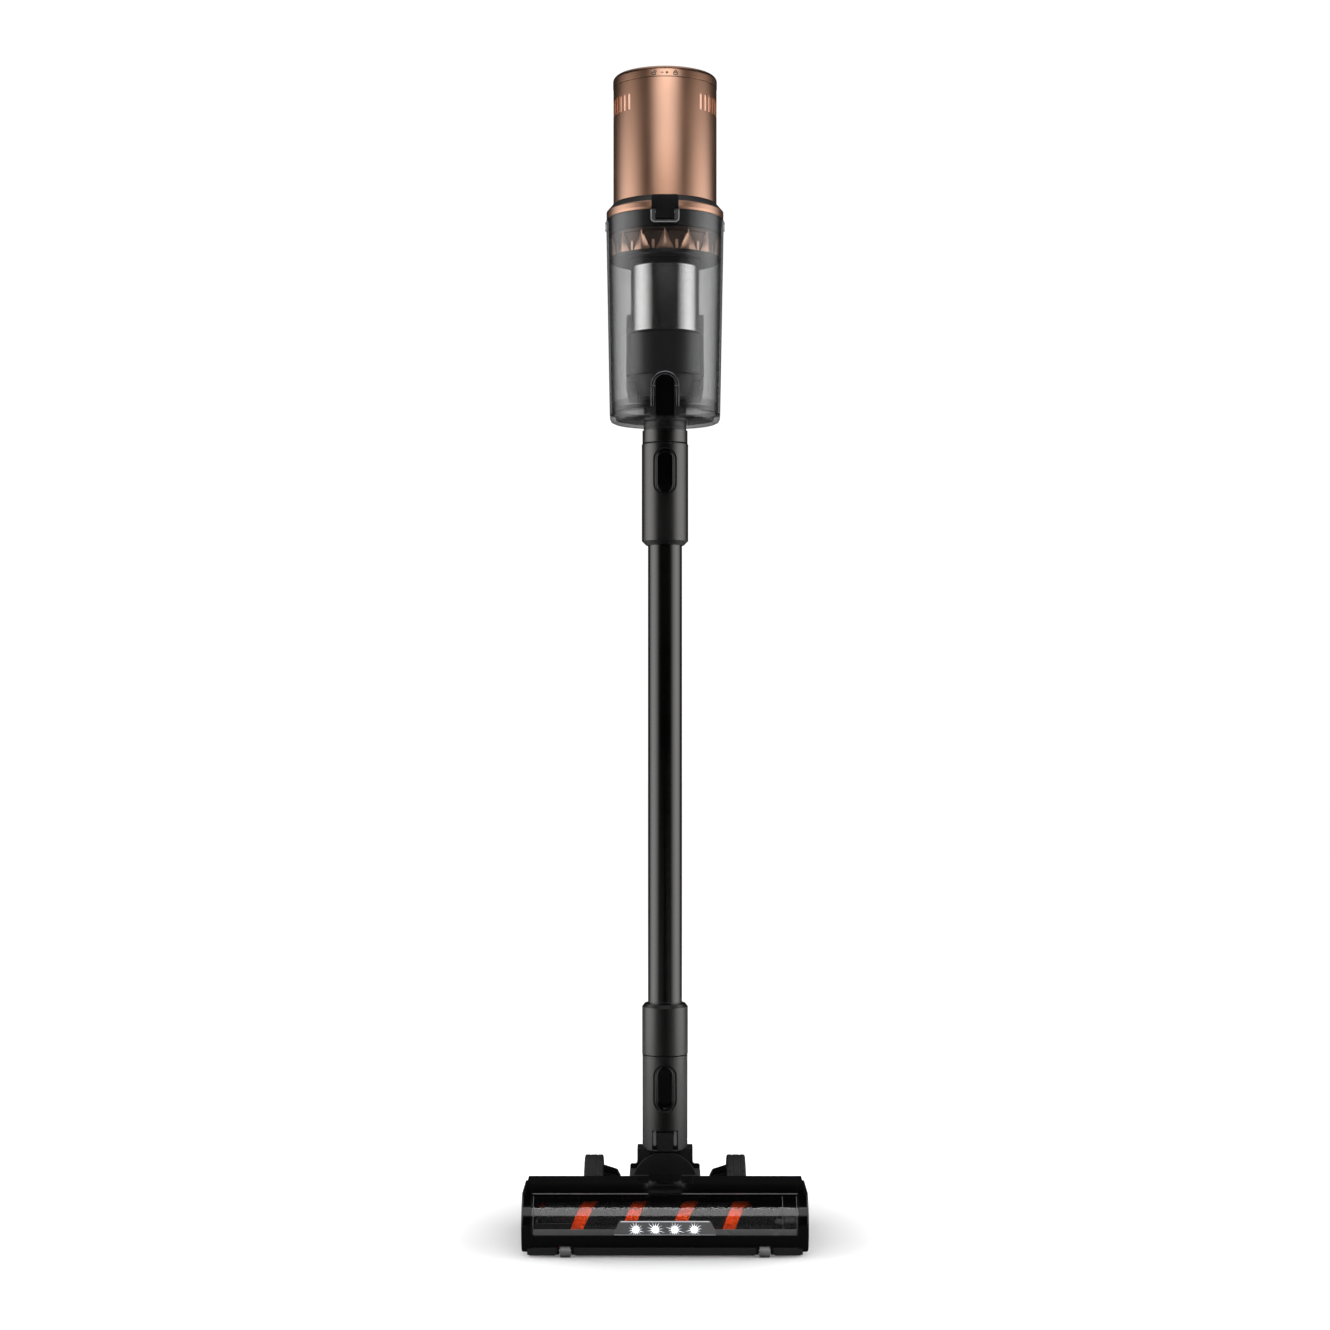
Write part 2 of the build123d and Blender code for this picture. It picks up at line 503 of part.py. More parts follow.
with BuildPart() as crown_fin:
    with BuildSketch(Plane(origin=(0, -CROWN_R + 1.3, 0), x_dir=(1, 0, 0), z_dir=(0, -1, 0))):
        with BuildLine():
            Polyline((-10.6, CROWN_LOW), (10.6, CROWN_LOW), (1.2, CROWN_HIGH - 2),
                     (-1.2, CROWN_HIGH - 2), close=True)
        make_face()
    extrude(amount=-6)

with BuildPart() as crown_cone:
    with Locations((0, -41.5, CROWN_LOW)):
        Cone(3.4, 8.2, CROWN_HIGH - CROWN_LOW, align=UP)

with BuildPart() as cyclone_crown:
    turned([(36, CROWN_LOW), (45, CROWN_LOW), (45, CROWN_HIGH), (36, CROWN_HIGH)], CUP_Y)
    turned([(44, CROWN_HIGH - 3.4), (CROWN_R - 0.6, CROWN_HIGH - 3.4), (CROWN_R - 0.6, CROWN_HIGH),
            (44, CROWN_HIGH)], CUP_Y)
    for index in range(CROWN_COUNT):
        turn = index * 360 / CROWN_COUNT
        half = turn + 180 / CROWN_COUNT
        add(crown_fin.part.rotate(Axis.Z, turn).translate((0, CUP_Y, 0)))
        add(crown_cone.part.rotate(Axis.Z, half).translate((0, CUP_Y, 0)))
save(cyclone_crown.part, "cyclone_crown")

with BuildPart() as shroud_frame:
    turned([
        (29, MESH_LOW), (32.1, MESH_LOW), (32.1, MESH_LOW + 1.5), (34.9, MESH_LOW - 1.5),
        (SKIRT_R, SHROUD_LOW), (CONE_R, SHROUD_LOW), (CONE_R, SHROUD_LOW + 1.8),
        (SKIRT_R - 2, SHROUD_LOW + 1.8), (33, MESH_LOW - 3), (29, MESH_LOW - 3),
    ], CUP_Y)
    turned([(27, MESH_HIGH), (32.3, MESH_HIGH), (32.3, 895.5), (CROWN_R, 895.5),
            (CROWN_R, CROWN_LOW), (27, CROWN_LOW)], CUP_Y)
    for index in range(4):
        turn = Location((0, CUP_Y, 0), (0, 0, 45 + 90 * index))
        with Locations(turn * Location((28.2, 0, (MESH_LOW + MESH_HIGH) / 2 - 1))):
            Box(2.4, 4, MESH_HIGH - MESH_LOW + 4)
save(shroud_frame.part, "shroud_frame")

with BuildPart() as mesh_screen:
    column(MESH_R, MESH_LOW + 1.5, MESH_HIGH, y=CUP_Y)
    column(MESH_R - 1.2, MESH_LOW + 1.5, MESH_HIGH, y=CUP_Y, mode=Mode.SUBTRACT)
save(mesh_screen.part, "mesh_screen")

with BuildPart() as inner_cone:
    turned([
        (22.3, 769.4), (22.8, 774), (CONE_R, SHROUD_LOW - 0.7), (CONE_R, 825), (25.3, 825),
        (25.3, SHROUD_LOW - 0.5), (21.2, 774), (20.7, 769.4),
    ], CUP_Y)
save(inner_cone.part, "inner_cone")

# ---------------------------------------------------------------- hand unit: motor
with BuildPart() as motor_housing:
    column(MOTOR_R, MOTOR_LOW, MOTOR_HIGH, y=CUP_Y)
    column(MOTOR_R - 2.2, MOTOR_LOW, MOTOR_HIGH, y=CUP_Y, mode=Mode.SUBTRACT)
    for side in (-1, 1):
        for index in range(VENT_COUNT):
            angle = -90 + side * (VENT_FIRST + VENT_STEP * index)
            slot = Location((0, CUP_Y, (VENT_LOW + VENT_HIGH) / 2), (0, 0, angle))
            with Locations(slot * Location((MOTOR_R, 0, 0))):
                Box(8, 3.7, VENT_HIGH - VENT_LOW, mode=Mode.SUBTRACT)
save(motor_housing.part, "motor_housing")

with BuildPart() as pre_filter:
    column(42.6, 936.4, 943.6, y=CUP_Y)
    column(10, 936.4, 943.6, y=CUP_Y, mode=Mode.SUBTRACT)
save(pre_filter.part, "pre_filter")

with BuildPart() as suction_motor:
    column(34, 950, 1005, y=CUP_Y)
    fillet(suction_motor.edges().group_by(Axis.Z)[-1], radius=3)
    column(14, 950, 952, y=CUP_Y, mode=Mode.SUBTRACT)
    column(30, 952, 969, y=CUP_Y, mode=Mode.SUBTRACT)
    column(3 + FIT, 969, 1003, y=CUP_Y, mode=Mode.SUBTRACT)
save(suction_motor.part, "suction_motor")

with BuildPart() as motor_mount:
    column(MOTOR_R - 2.2, 974, 984, y=CUP_Y)
    column(34, 974, 984, y=CUP_Y, mode=Mode.SUBTRACT)
save(motor_mount.part, "motor_mount")

with BuildPart() as fan_rotor:
    column(28, 953, 954.6, y=CUP_Y)
    column(7, 953, 968, y=CUP_Y)
    column(3, 968, 1002, y=CUP_Y)
    for index in range(9):
        turn = Location((0, CUP_Y, 961), (0, 0, 40 * index))
        with Locations(turn * Location((17, 0, 0), (0, 0, 28))):
            Box(20, 1.4, 14)
save(fan_rotor.part, "fan_rotor")

with BuildPart() as filter_cap:
    column(CAP_R, MOTOR_HIGH + 0.4, CAP_HIGH, y=CUP_Y)
    fillet(filter_cap.edges().group_by(Axis.Z)[-1], radius=4)
    column(43, 1045, MOTOR_HIGH + 0.4, y=CUP_Y)
    column(38, 1045, CAP_HIGH - 3, y=CUP_Y, mode=Mode.SUBTRACT)
save(filter_cap.part, "filter_cap")

with BuildPart() as exhaust_filter:
    column(37.8, 1010, CAP_HIGH - 3, y=CUP_Y)
    column(28, 1010, CAP_HIGH - 6, y=CUP_Y, mode=Mode.SUBTRACT)
save(exhaust_filter.part, "exhaust_filter")

# ---------------------------------------------------------------- handle
HANDLE_OUTLINE = [
    (-40, 1040), (30, 1046), (108, 1032), (127, 1008), (119, 900), (REAR, 880), (REAR, 852),
    (-5, 852), (-40, 905),
]
FINGER_HOLE = [(26, 1010), (82, 1003), (91, 985), (85, 892), (74, 881), (26, 881)]


def handle_body():
    """Both handle shells as one hollow body, before they are split down the middle."""
    with BuildPart() as body:
        with BuildSketch(Plane.YZ.offset(-HANDLE_HALF)) as outline:
            with BuildLine():
                Polyline(*HANDLE_OUTLINE, close=True)
            make_face()
            fillet(outline.vertices(), radius=8)
        with BuildSketch(Plane.YZ.offset(-HANDLE_HALF)) as hole:
            with BuildLine():
                Polyline(*FINGER_HOLE, close=True)
            make_face()
            fillet(hole.vertices(), radius=8)
        extrude(outline.sketch - hole.sketch, amount=2 * HANDLE_HALF)
        rim = body.faces().filter_by(Axis.X).edges().filter_by(Axis.X, reverse=True)
        fillet(rim, radius=4)
        block((-DOCK_HALF, DOCK_HALF), (BATTERY_FRONT - 2, REAR - 2), (BATTERY_HIGH + 0.4, 866))
        block((-12, 12), (-26, 17), (950, 1030), mode=Mode.SUBTRACT)
        block((-12, 12), (-18, 17), (912, 951), mode=Mode.SUBTRACT)
        block((-12, 12), (20, 86), (1014, 1032), mode=Mode.SUBTRACT)
        block((-12, 12), (94, 115), (905, 1004), mode=Mode.SUBTRACT)
        block((-34, 34), (36, 127), (854.6, 863.6), mode=Mode.SUBTRACT)
        block((-30, 30), (60, 110), (BATTERY_HIGH, 861.6), mode=Mode.SUBTRACT)
        block((-9.5, 9.5), (76, 98), (951, 986), mode=Mode.SUBTRACT)
        column(6.4, 1024, 1050, y=96, mode=Mode.SUBTRACT)
        column(DUCT_R, 800, DUCT_TOP, mode=Mode.SUBTRACT)
        block((-15, 15), (-30, 0), (PORT_LOW - 4, PORT_HIGH + 4), mode=Mode.SUBTRACT)
        column(CUP_R_HIGH + 0.7, 840, MOTOR_LOW - 4, y=CUP_Y, mode=Mode.SUBTRACT)
        column(MOTOR_R + 4, MOTOR_LOW - 6, MOTOR_LOW, y=CUP_Y, mode=Mode.SUBTRACT)
        column(MOTOR_R, MOTOR_LOW, MOTOR_HIGH, y=CUP_Y, mode=Mode.SUBTRACT)
        for y, z in SCREW_PLACES:
            bar(1.6, -HANDLE_HALF + 3, HANDLE_HALF, y, z, mode=Mode.SUBTRACT)
            bar(3.1, HANDLE_HALF - 4, HANDLE_HALF, y, z, mode=Mode.SUBTRACT)
    return body.part


SCREW_PLACES = [(-6, 1036), (60, 1024), (22, 930), (103, 893), (40, 872)]

for label, side in (("left", -1), ("right", 1)):
    with BuildPart() as handle_shell:
        add(handle_body())
        keep = Keep.TOP if side > 0 else Keep.BOTTOM
        split(bisect_by=Plane.YZ, keep=keep)
    save(handle_shell.part, f"handle_{label}")

with BuildPart() as handle_screws:
    for y, z in SCREW_PLACES:
        bar(1.6, -HANDLE_HALF + 3, HANDLE_HALF - 4, y, z)
        bar(3.1, HANDLE_HALF - 4, HANDLE_HALF - 1.6, y, z)
        bar(1.4, HANDLE_HALF - 2.8, HANDLE_HALF, y, z, mode=Mode.SUBTRACT)
save(handle_screws.part, "handle_screws")

with BuildPart() as main_pcb:
    block((-11.9, 11.9), (6, 7.6), (916, 1022))
    for z, height, width in ((930, 6, 14), (955, 9, 8), (985, 5, 18), (1008, 7, 10)):
        block((-width / 2, width / 2), (6 - height, 6), (z - 5, z + 5))
save(main_pcb.part, "main_pcb")

with BuildPart() as trigger:
    block((-9, 9), (80, 92), (952, 985))
    fillet(trigger.edges().filter_by(Axis.X).group_by(Axis.Y)[0], radius=5)
save(trigger.part, "trigger")

with BuildPart() as mode_button:
    column(6, 1027.5, 1036.2, y=96)
    fillet(mode_button.edges().group_by(Axis.Z)[-1], radius=1)
save(mode_button.part, "mode_button")

# ---------------------------------------------------------------- battery
CELL_PLACES = [(48 + 19.6 * column_index, z) for column_index in range(4) for z in (808, 828)]

with BuildPart() as battery_case:
    block((-DOCK_HALF, DOCK_HALF), (BATTERY_FRONT, BATTERY_REAR), (BATTERY_LOW, BATTERY_HIGH))
    fillet(battery_case.edges().filter_by(Axis.Z), radius=6)
    fillet(battery_case.edges().group_by(Axis.Z)[0], radius=3)
    block((-14, 14), (66, 104), (BATTERY_HIGH, 860))
    for y, z in CELL_PLACES:
        bar(CELL_R + 0.1, -CELL_LENGTH / 2, CELL_LENGTH / 2, y, z, mode=Mode.SUBTRACT)
    block((-10.4, 10.4), (126.5, 132), (833.6, 848.4), mode=Mode.SUBTRACT)
    bar(2.8, DOCK_HALF - 10, DOCK_HALF, 60, 842, mode=Mode.SUBTRACT)
save(battery_case.part, "battery_case")

with BuildPart() as battery_cells:
    for y, z in CELL_PLACES:
        bar(CELL_R, -CELL_LENGTH / 2, CELL_LENGTH / 2, y, z)
save(battery_cells.part, "battery_cells")

with BuildPart() as battery_latch:
    block((-10, 10), (128.4, 132.6), (834, 848))
    fillet(battery_latch.edges().filter_by(Axis.Y), radius=2)
save(battery_latch.part, "battery_latch")

# ---------------------------------------------------------------- dust cup
ARCH_HALF, LEVER_HALF = 14.4, 8.7
LEVER_AXIS = (-130.2, 775.5)
TAB_AXIS = (-131.6, 929.5)

with BuildPart() as dust_cup:
    with BuildSketch(Plane(origin=(0, -131.6, 0), x_dir=(1, 0, 0), z_dir=(0, -1, 0))):
        with Locations((0, 765)):
            SlotOverall(46, 2 * ARCH_HALF, rotation=90)
    extrude(amount=-10)
    block((-60, 60), (-140, -100), (700, LID_LOW), mode=Mode.SUBTRACT)
    turned([(0, CUP_LOW), (CUP_R_LOW, CUP_LOW), (CUP_R_HIGH, CUP_HIGH), (0, CUP_HIGH)], CUP_Y)
    block((-15.4, 15.4), (-31, -23.4), (749.8, 761))
    for side in (-1, 1):
        nub = sorted((side * 52, side * 54.3))
        block(nub, (CUP_Y - 4, CUP_Y + 4), (924, 931))
    turned([(0, CUP_LOW - 1), (CUP_R_LOW - CUP_WALL, CUP_LOW - 1),
            (CUP_R_HIGH - CUP_WALL, CUP_HIGH + 1), (0, CUP_HIGH + 1)], CUP_Y, mode=Mode.SUBTRACT)
    column(CUP_R_LOW + 0.4, 745, CUP_LOW, y=CUP_Y, mode=Mode.SUBTRACT)
    with BuildSketch(Plane(origin=(0, -135, 0), x_dir=(1, 0, 0), z_dir=(0, -1, 0))):
        with Locations((0, 763.4)):
            SlotOverall(46, 2 * LEVER_HALF + 1, rotation=90)
    extrude(amount=-7.4, mode=Mode.SUBTRACT)
    bar(1.0, -12.5, 12.5, *LEVER_AXIS, mode=Mode.SUBTRACT)
    block((-10.4, 10.4), (-29.2, -20), (745, 756.6), mode=Mode.SUBTRACT)
    bar(1.3, -15.4, 15.4, *LID_AXIS, mode=Mode.SUBTRACT)
    block((-PORT_HALF, PORT_HALF), (-40, -20), (PORT_LOW, PORT_HIGH), mode=Mode.SUBTRACT)
save(dust_cup.part, "dust_cup")

with BuildPart() as cup_latch_bracket:
    block((-13, 13), (-132.6, -127), (920, 931.8))
    fillet(cup_latch_bracket.edges().filter_by(Axis.Y).group_by(Axis.Z)[0], radius=4)
    turned([(0, 900), (52.85, 900), (CUP_R_HIGH, CUP_HIGH), (0, CUP_HIGH)], CUP_Y, mode=Mode.SUBTRACT)
    block((-8.7, 8.7), (-136, -129.9), (922.6, 934), mode=Mode.SUBTRACT)
    bar(0.7, -11, 11, *TAB_AXIS, mode=Mode.SUBTRACT)
save(cup_latch_bracket.part, "cup_latch_bracket")

with BuildPart() as latch_pins:
    bar(1.0, -12.5, 12.5, *LEVER_AXIS)
    bar(1.3, -15.4, 15.4, *LID_AXIS)
    bar(0.7, -11, 11, *TAB_AXIS)
save(latch_pins.part, "latch_pins")

with BuildPart() as cup_lid:
    turned([
        (0, LID_LOW), (46, LID_LOW), (48.6, 750.2), (49.8, 752.6), (50.1, CUP_LOW - 0.4),
        (PLUG_R, CUP_LOW - 0.4), (PLUG_R, PLUG_TOP), (PLUG_R - 2, PLUG_TOP),
        (PLUG_R - 2, LID_LOW + 3), (0, LID_LOW + 3),
    ], CUP_Y)
    block((-10, 10), (-32, LID_AXIS[0]), (LID_LOW + 1, 755.2))
    bar(2.6, -10, 10, *LID_AXIS)
    bar(1.3 + FIT, -10, 10, *LID_AXIS, mode=Mode.SUBTRACT)
    for side in (-1, 1):
        notch = sorted((side * 10, side * 15.9))
        block(notch, (LID_AXIS[0] - 5.5, -20), (LID_LOW - 1, CUP_LOW - 0.4), mode=Mode.SUBTRACT)
save(cup_lid.part, "cup_lid")

with BuildPart() as lid_seal:
    turned([(PLUG_R, 758), (PLUG_R + 0.9, 759), (PLUG_R + 0.9, 761), (PLUG_R, 762)], CUP_Y)
save(lid_seal.part, "lid_seal")

with BuildPart() as lid_latch:
    with BuildSketch(Plane(origin=(0, -132.2, 0), x_dir=(1, 0, 0), z_dir=(0, -1, 0))):
        with Locations((0, 763)):
            SlotOverall(46, 2 * LEVER_HALF, rotation=90)
    extrude(amount=-2.2)
    block((-20, 20), (-140, -120), (700, LID_LOW + 0.4), mode=Mode.SUBTRACT)
    bar(2.0, -LEVER_HALF, LEVER_HALF, *LEVER_AXIS)
    bar(1.0 + 0.05, -LEVER_HALF, LEVER_HALF, *LEVER_AXIS, mode=Mode.SUBTRACT)
save(lid_latch.part, "lid_latch")

with BuildPart() as cup_latch:
    block((-8.25, 8.25), (-133, -131.2), (923.7, 933))
    bar(1.4, -8.25, 8.25, *TAB_AXIS)
    block((-12, 12), (-133, -130.6), (932.8, 945))
    fillet(cup_latch.edges().filter_by(Axis.Y).group_by(Axis.Z)[-1], radius=2)
    bar(0.7 + 0.05, -12, 12, *TAB_AXIS, mode=Mode.SUBTRACT)
save(cup_latch.part, "cup_latch")
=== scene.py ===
"""Looks of the cordless stick vacuum: finishes, fine meshes, floor, lights and camera.

Shapes are written in millimetres in the row frame and become metres when their mesh is made.
The front faces -Y, +X is on the right and +Z is up.
"""
import json
import random
from math import cos, pi, radians, sin, sqrt, tau

import bmesh
import bpy
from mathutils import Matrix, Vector

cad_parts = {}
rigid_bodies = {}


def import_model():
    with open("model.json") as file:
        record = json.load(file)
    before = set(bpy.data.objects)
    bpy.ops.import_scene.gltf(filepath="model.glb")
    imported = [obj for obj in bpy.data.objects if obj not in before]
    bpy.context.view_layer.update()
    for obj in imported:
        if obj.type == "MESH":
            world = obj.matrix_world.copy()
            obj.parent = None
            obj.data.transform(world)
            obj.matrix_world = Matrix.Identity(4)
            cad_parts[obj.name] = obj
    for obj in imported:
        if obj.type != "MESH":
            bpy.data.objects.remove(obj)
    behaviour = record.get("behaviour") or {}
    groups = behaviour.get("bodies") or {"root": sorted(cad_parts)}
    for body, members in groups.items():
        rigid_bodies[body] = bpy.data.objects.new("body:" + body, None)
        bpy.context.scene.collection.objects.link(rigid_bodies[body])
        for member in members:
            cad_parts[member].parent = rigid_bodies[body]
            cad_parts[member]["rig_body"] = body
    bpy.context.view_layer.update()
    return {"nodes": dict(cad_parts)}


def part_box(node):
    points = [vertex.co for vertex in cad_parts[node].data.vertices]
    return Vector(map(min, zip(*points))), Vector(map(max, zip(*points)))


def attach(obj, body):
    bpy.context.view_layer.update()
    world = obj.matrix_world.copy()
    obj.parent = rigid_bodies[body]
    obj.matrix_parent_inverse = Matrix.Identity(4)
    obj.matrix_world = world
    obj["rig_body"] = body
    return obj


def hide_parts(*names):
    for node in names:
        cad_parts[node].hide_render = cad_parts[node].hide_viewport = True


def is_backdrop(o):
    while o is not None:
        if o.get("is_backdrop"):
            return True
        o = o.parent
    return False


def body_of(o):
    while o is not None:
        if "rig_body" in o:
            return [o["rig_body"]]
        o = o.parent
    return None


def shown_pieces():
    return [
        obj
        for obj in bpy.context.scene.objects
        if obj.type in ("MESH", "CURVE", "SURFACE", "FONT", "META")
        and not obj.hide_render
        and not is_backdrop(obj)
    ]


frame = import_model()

MM = 0.001
NODES = frame["nodes"]


def span(node):
    """Lowest and highest corner of a CAD node, in millimetres."""
    low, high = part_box(node)
    return low / MM, high / MM


# ---------------------------------------------------------------- places read from the frame
SHELL_LOW, SHELL_HIGH = span("motor_housing")
AXIS_Y = (SHELL_LOW.y + SHELL_HIGH.y) / 2        # upright axis shared by cup, motor and cap
SHELL_R = SHELL_HIGH.x
CAP_HIGH = span("filter_cap")[1]
SCREEN_LOW, SCREEN_HIGH = span("mesh_screen")
SCREEN_R = SCREEN_HIGH.x
CORE_LOW, CORE_HIGH = span("brush_core")
ROLL_Y, ROLL_Z = (CORE_LOW.y + CORE_HIGH.y) / 2, (CORE_LOW.z + CORE_HIGH.z) / 2
CORE_R = (CORE_HIGH.z - CORE_LOW.z) / 2
WHEEL_Z = sum(corner.z for corner in span("rear_tyre_right")) / 2
COLLAR_R = span("wand_upper_collar")[1].x
NECK_R = span("neck_tube")[1].x


# ---------------------------------------------------------------- places taken over from the CAD
NOSE_Y, NOSE_Z, NOSE_R = -84.5, 27.0, 33.7       # centre and radius of the head's round front
WINDOW_TOP = 56.7                                # degrees over that centre where the window ends
HOUSING_FOOT, HOUSING_TOP = 22.3, 34.5           # heights of the lamp housing's edges
HOUSING_FOOT_X, HOUSING_TOP_X = 46.5, 40.4       # half its width at each
CUP_FOOT, CUP_RIM = 757.0, 932.6                 # heights of the dust cup's ends
CUP_FOOT_R, CUP_RIM_R = 50.2, 53.4               # its radii there


# ---------------------------------------------------------------- finishes
class Finish:
    """A node material being put together round one Principled shader."""

    def __init__(self, name, colour, roughness, metallic=0.0, coat=0.0, specular=0.5, edge_mm=0.0):
        self.material = bpy.data.materials.new(name)
        self.material.use_nodes = True
        tree = self.material.node_tree
        self.nodes, self.links = tree.nodes, tree.links
        self.shader = self.nodes["Principled BSDF"]
        self.colour = colour
        self.set("Base Color", (*colour, 1))
        self.set("Roughness", roughness)
        self.set("Metallic", metallic)
        self.set("Specular IOR Level", specular)
        if coat:
            self.set("Coat Weight", coat)
            self.set("Coat Roughness", 0.06)
        self.place = self.nodes.new("ShaderNodeTexCoord").outputs["Object"]
        self.edge = None
        if edge_mm:
            self.edge = self.nodes.new("ShaderNodeBevel")
            self.edge.samples = 4
            self.edge.inputs["Radius"].default_value = edge_mm * MM

    def set(self, socket, value):
        self.shader.inputs[socket].default_value = value
        return self

    def maths(self, operation, first, second):
        """A Math node on two values, each a socket or a number."""
        node = self.nodes.new("ShaderNodeMath")
        node.operation = operation
        for socket, value in zip(node.inputs, (first, second)):
            if isinstance(value, (int, float)):
                socket.default_value = value
            else:
                self.links.new(value, socket)
        return node.outputs[0]

    def stretched(self, x=1.0, y=1.0, z=1.0):
        """Object coordinates scaled on each axis, for brushing and grain with a direction."""
        mapping = self.nodes.new("ShaderNodeMapping")
        mapping.inputs["Scale"].default_value = (x, y, z)
        self.links.new(self.place, mapping.inputs["Vector"])
        return mapping.outputs["Vector"]

    def noise(self, scale, detail=3.0, vector=None):
        node = self.nodes.new("ShaderNodeTexNoise")
        node.inputs["Scale"].default_value = scale
        node.inputs["Detail"].default_value = detail
        self.links.new(vector or self.place, node.inputs["Vector"])
        return node.outputs["Fac"]

    def ranged(self, value, low, high, start=0.3, stop=0.7):
        """A texture value mapped from start..stop on to low..high."""
        node = self.nodes.new("ShaderNodeMapRange")
        for socket, number in zip(("From Min", "From Max", "To Min", "To Max"), (start, stop, low, high)):
            node.inputs[socket].default_value = number
        self.links.new(value, node.inputs["Value"])
        return node.outputs["Result"]

    def mottled(self, factor, darker, lighter):
        """Base colour that drifts between two shades of the finish's colour."""
        mix = self.nodes.new("ShaderNodeMix")
        mix.data_type = "RGBA"
        mix.inputs["A"].default_value = (*[c * darker for c in self.colour], 1)
        mix.inputs["B"].default_value = (*[min(1, c * lighter) for c in self.colour], 1)
        self.links.new(factor, mix.inputs["Factor"])
        self.links.new(mix.outputs["Result"], self.shader.inputs["Base Color"])
        return self

    def worn(self, colour, amount, wear_size=60):
        """Edges rubbed to another shade, more in some places than in others."""
        geometry = self.nodes.new("ShaderNodeNewGeometry")
        likeness = self.nodes.new("ShaderNodeVectorMath")
        likeness.operation = "DOT_PRODUCT"
        self.links.new(self.edge.outputs["Normal"], likeness.inputs[0])
        self.links.new(geometry.outputs["Normal"], likeness.inputs[1])
        turned = self.ranged(likeness.outputs["Value"], amount, 0, 0.90, 0.995)
        patchy = self.maths("MULTIPLY", turned, self.ranged(self.noise(wear_size, 4), 0.35, 1))
        under = self.shader.inputs["Base Color"].links[0].from_socket
        mix = self.nodes.new("ShaderNodeMix")
        mix.data_type = "RGBA"
        mix.inputs["B"].default_value = (*colour, 1)
        self.links.new(patchy, mix.inputs["Factor"])
        self.links.new(under, mix.inputs["A"])
        self.links.new(mix.outputs["Result"], self.shader.inputs["Base Color"])
        return self

    def rough(self, factor, low, high):
        """Roughness that follows a texture between two values."""
        self.links.new(self.ranged(factor, low, high), self.shader.inputs["Roughness"])
        return self

    def bump(self, height, depth_mm):
        """Fine relief, laid over the rounded edges where the finish has them."""
        node = self.nodes.new("ShaderNodeBump")
        node.inputs["Strength"].default_value = 1.0
        node.inputs["Distance"].default_value = depth_mm * MM
        self.links.new(height, node.inputs["Height"])
        if self.edge:
            self.links.new(self.edge.outputs["Normal"], node.inputs["Normal"])
        self.links.new(node.outputs["Normal"], self.shader.inputs["Normal"])
        return self


def moulded(name, colour, low, high, grain_mm=0.35, depth_mm=0.012, coat=0.0, specular=0.5, edge_mm=0.45):
    """Injection-moulded plastic: spark-eroded grain, a slow drift in shade and gloss, rubbed edges."""
    finish = Finish(name, colour, (low + high) / 2, coat=coat, specular=specular, edge_mm=edge_mm)
    broad = finish.noise(22, 4)
    finish.mottled(finish.ranged(broad, 0, 1), 0.84, 1.16)
    finish.rough(broad, low, high)
    finish.bump(finish.noise(1 / (grain_mm * MM), 2), depth_mm)
    if edge_mm:
        finish.worn([0.02 + 1.6 * c for c in colour], 0.6)
    return finish.material


def metal_paint(name, colour, low, high, flake_mm=0.25, coat=0.25, drift=0.08, edge_mm=0.4):
    """Satin metallic paint: tiny flakes that catch the light under a thin clear coat."""
    finish = Finish(name, colour, (low + high) / 2, metallic=1.0, coat=coat, edge_mm=edge_mm)
    flakes = finish.nodes.new("ShaderNodeTexVoronoi")
    flakes.inputs["Scale"].default_value = 1 / (flake_mm * MM)
    finish.links.new(finish.place, flakes.inputs["Vector"])
    finish.mottled(finish.ranged(flakes.outputs["Distance"], 0, 1, 0.1, 0.8), 1 - drift, 1 + drift)
    finish.rough(finish.noise(14, 4), low, high)
    finish.bump(flakes.outputs["Distance"], 0.004)
    finish.worn([min(1, 1.5 * c) for c in colour], 0.5)
    return finish.material


def brushed(name, colour, low, high, along=(1, 1, 0.02), lines_mm=0.12):
    """Brushed metal: fine scratches along one direction."""
    finish = Finish(name, colour, (low + high) / 2, metallic=1.0)
    lines = finish.noise(1 / (lines_mm * MM), 4, finish.stretched(*along))
    finish.mottled(finish.ranged(lines, 0, 1), 0.88, 1.08)
    finish.rough(lines, low, high)
    finish.bump(lines, 0.0015)
    return finish.material


def clear(name, tint, face_alpha, edge_alpha, ior):
    """Thin smoked plastic: each surface takes a little light, more where it is seen edge-on."""
    finish = Finish(name, tint, 0.05, specular=1.0)
    finish.set("IOR", ior)
    haze = finish.noise(30, 5)
    finish.mottled(finish.ranged(haze, 0, 1), 0.8, 1.25)
    finish.rough(haze, 0.03, 0.07)
    facing = finish.nodes.new("ShaderNodeLayerWeight")
    facing.inputs["Blend"].default_value = 0.5
    turned = finish.ranged(facing.outputs["Facing"], face_alpha, edge_alpha, 0.25, 0.85)
    finish.links.new(turned, finish.shader.inputs["Alpha"])
    return finish.material


def woven(name, colour, pitch_mm, depth_mm, roughness=0.85, sheen=0.3):
    """Pleated paper, felt or fibre: a soft crossed grain with sheen."""
    finish = Finish(name, colour, roughness)
    finish.set("Sheen Weight", sheen)
    fibres = finish.noise(1 / (pitch_mm * MM), 4, finish.stretched(1, 1, 0.25))
    finish.mottled(finish.ranged(fibres, 0, 1), 0.7, 1.2)
    finish.rough(fibres, roughness - 0.1, min(1, roughness + 0.1))
    finish.bump(fibres, depth_mm)
    return finish.material


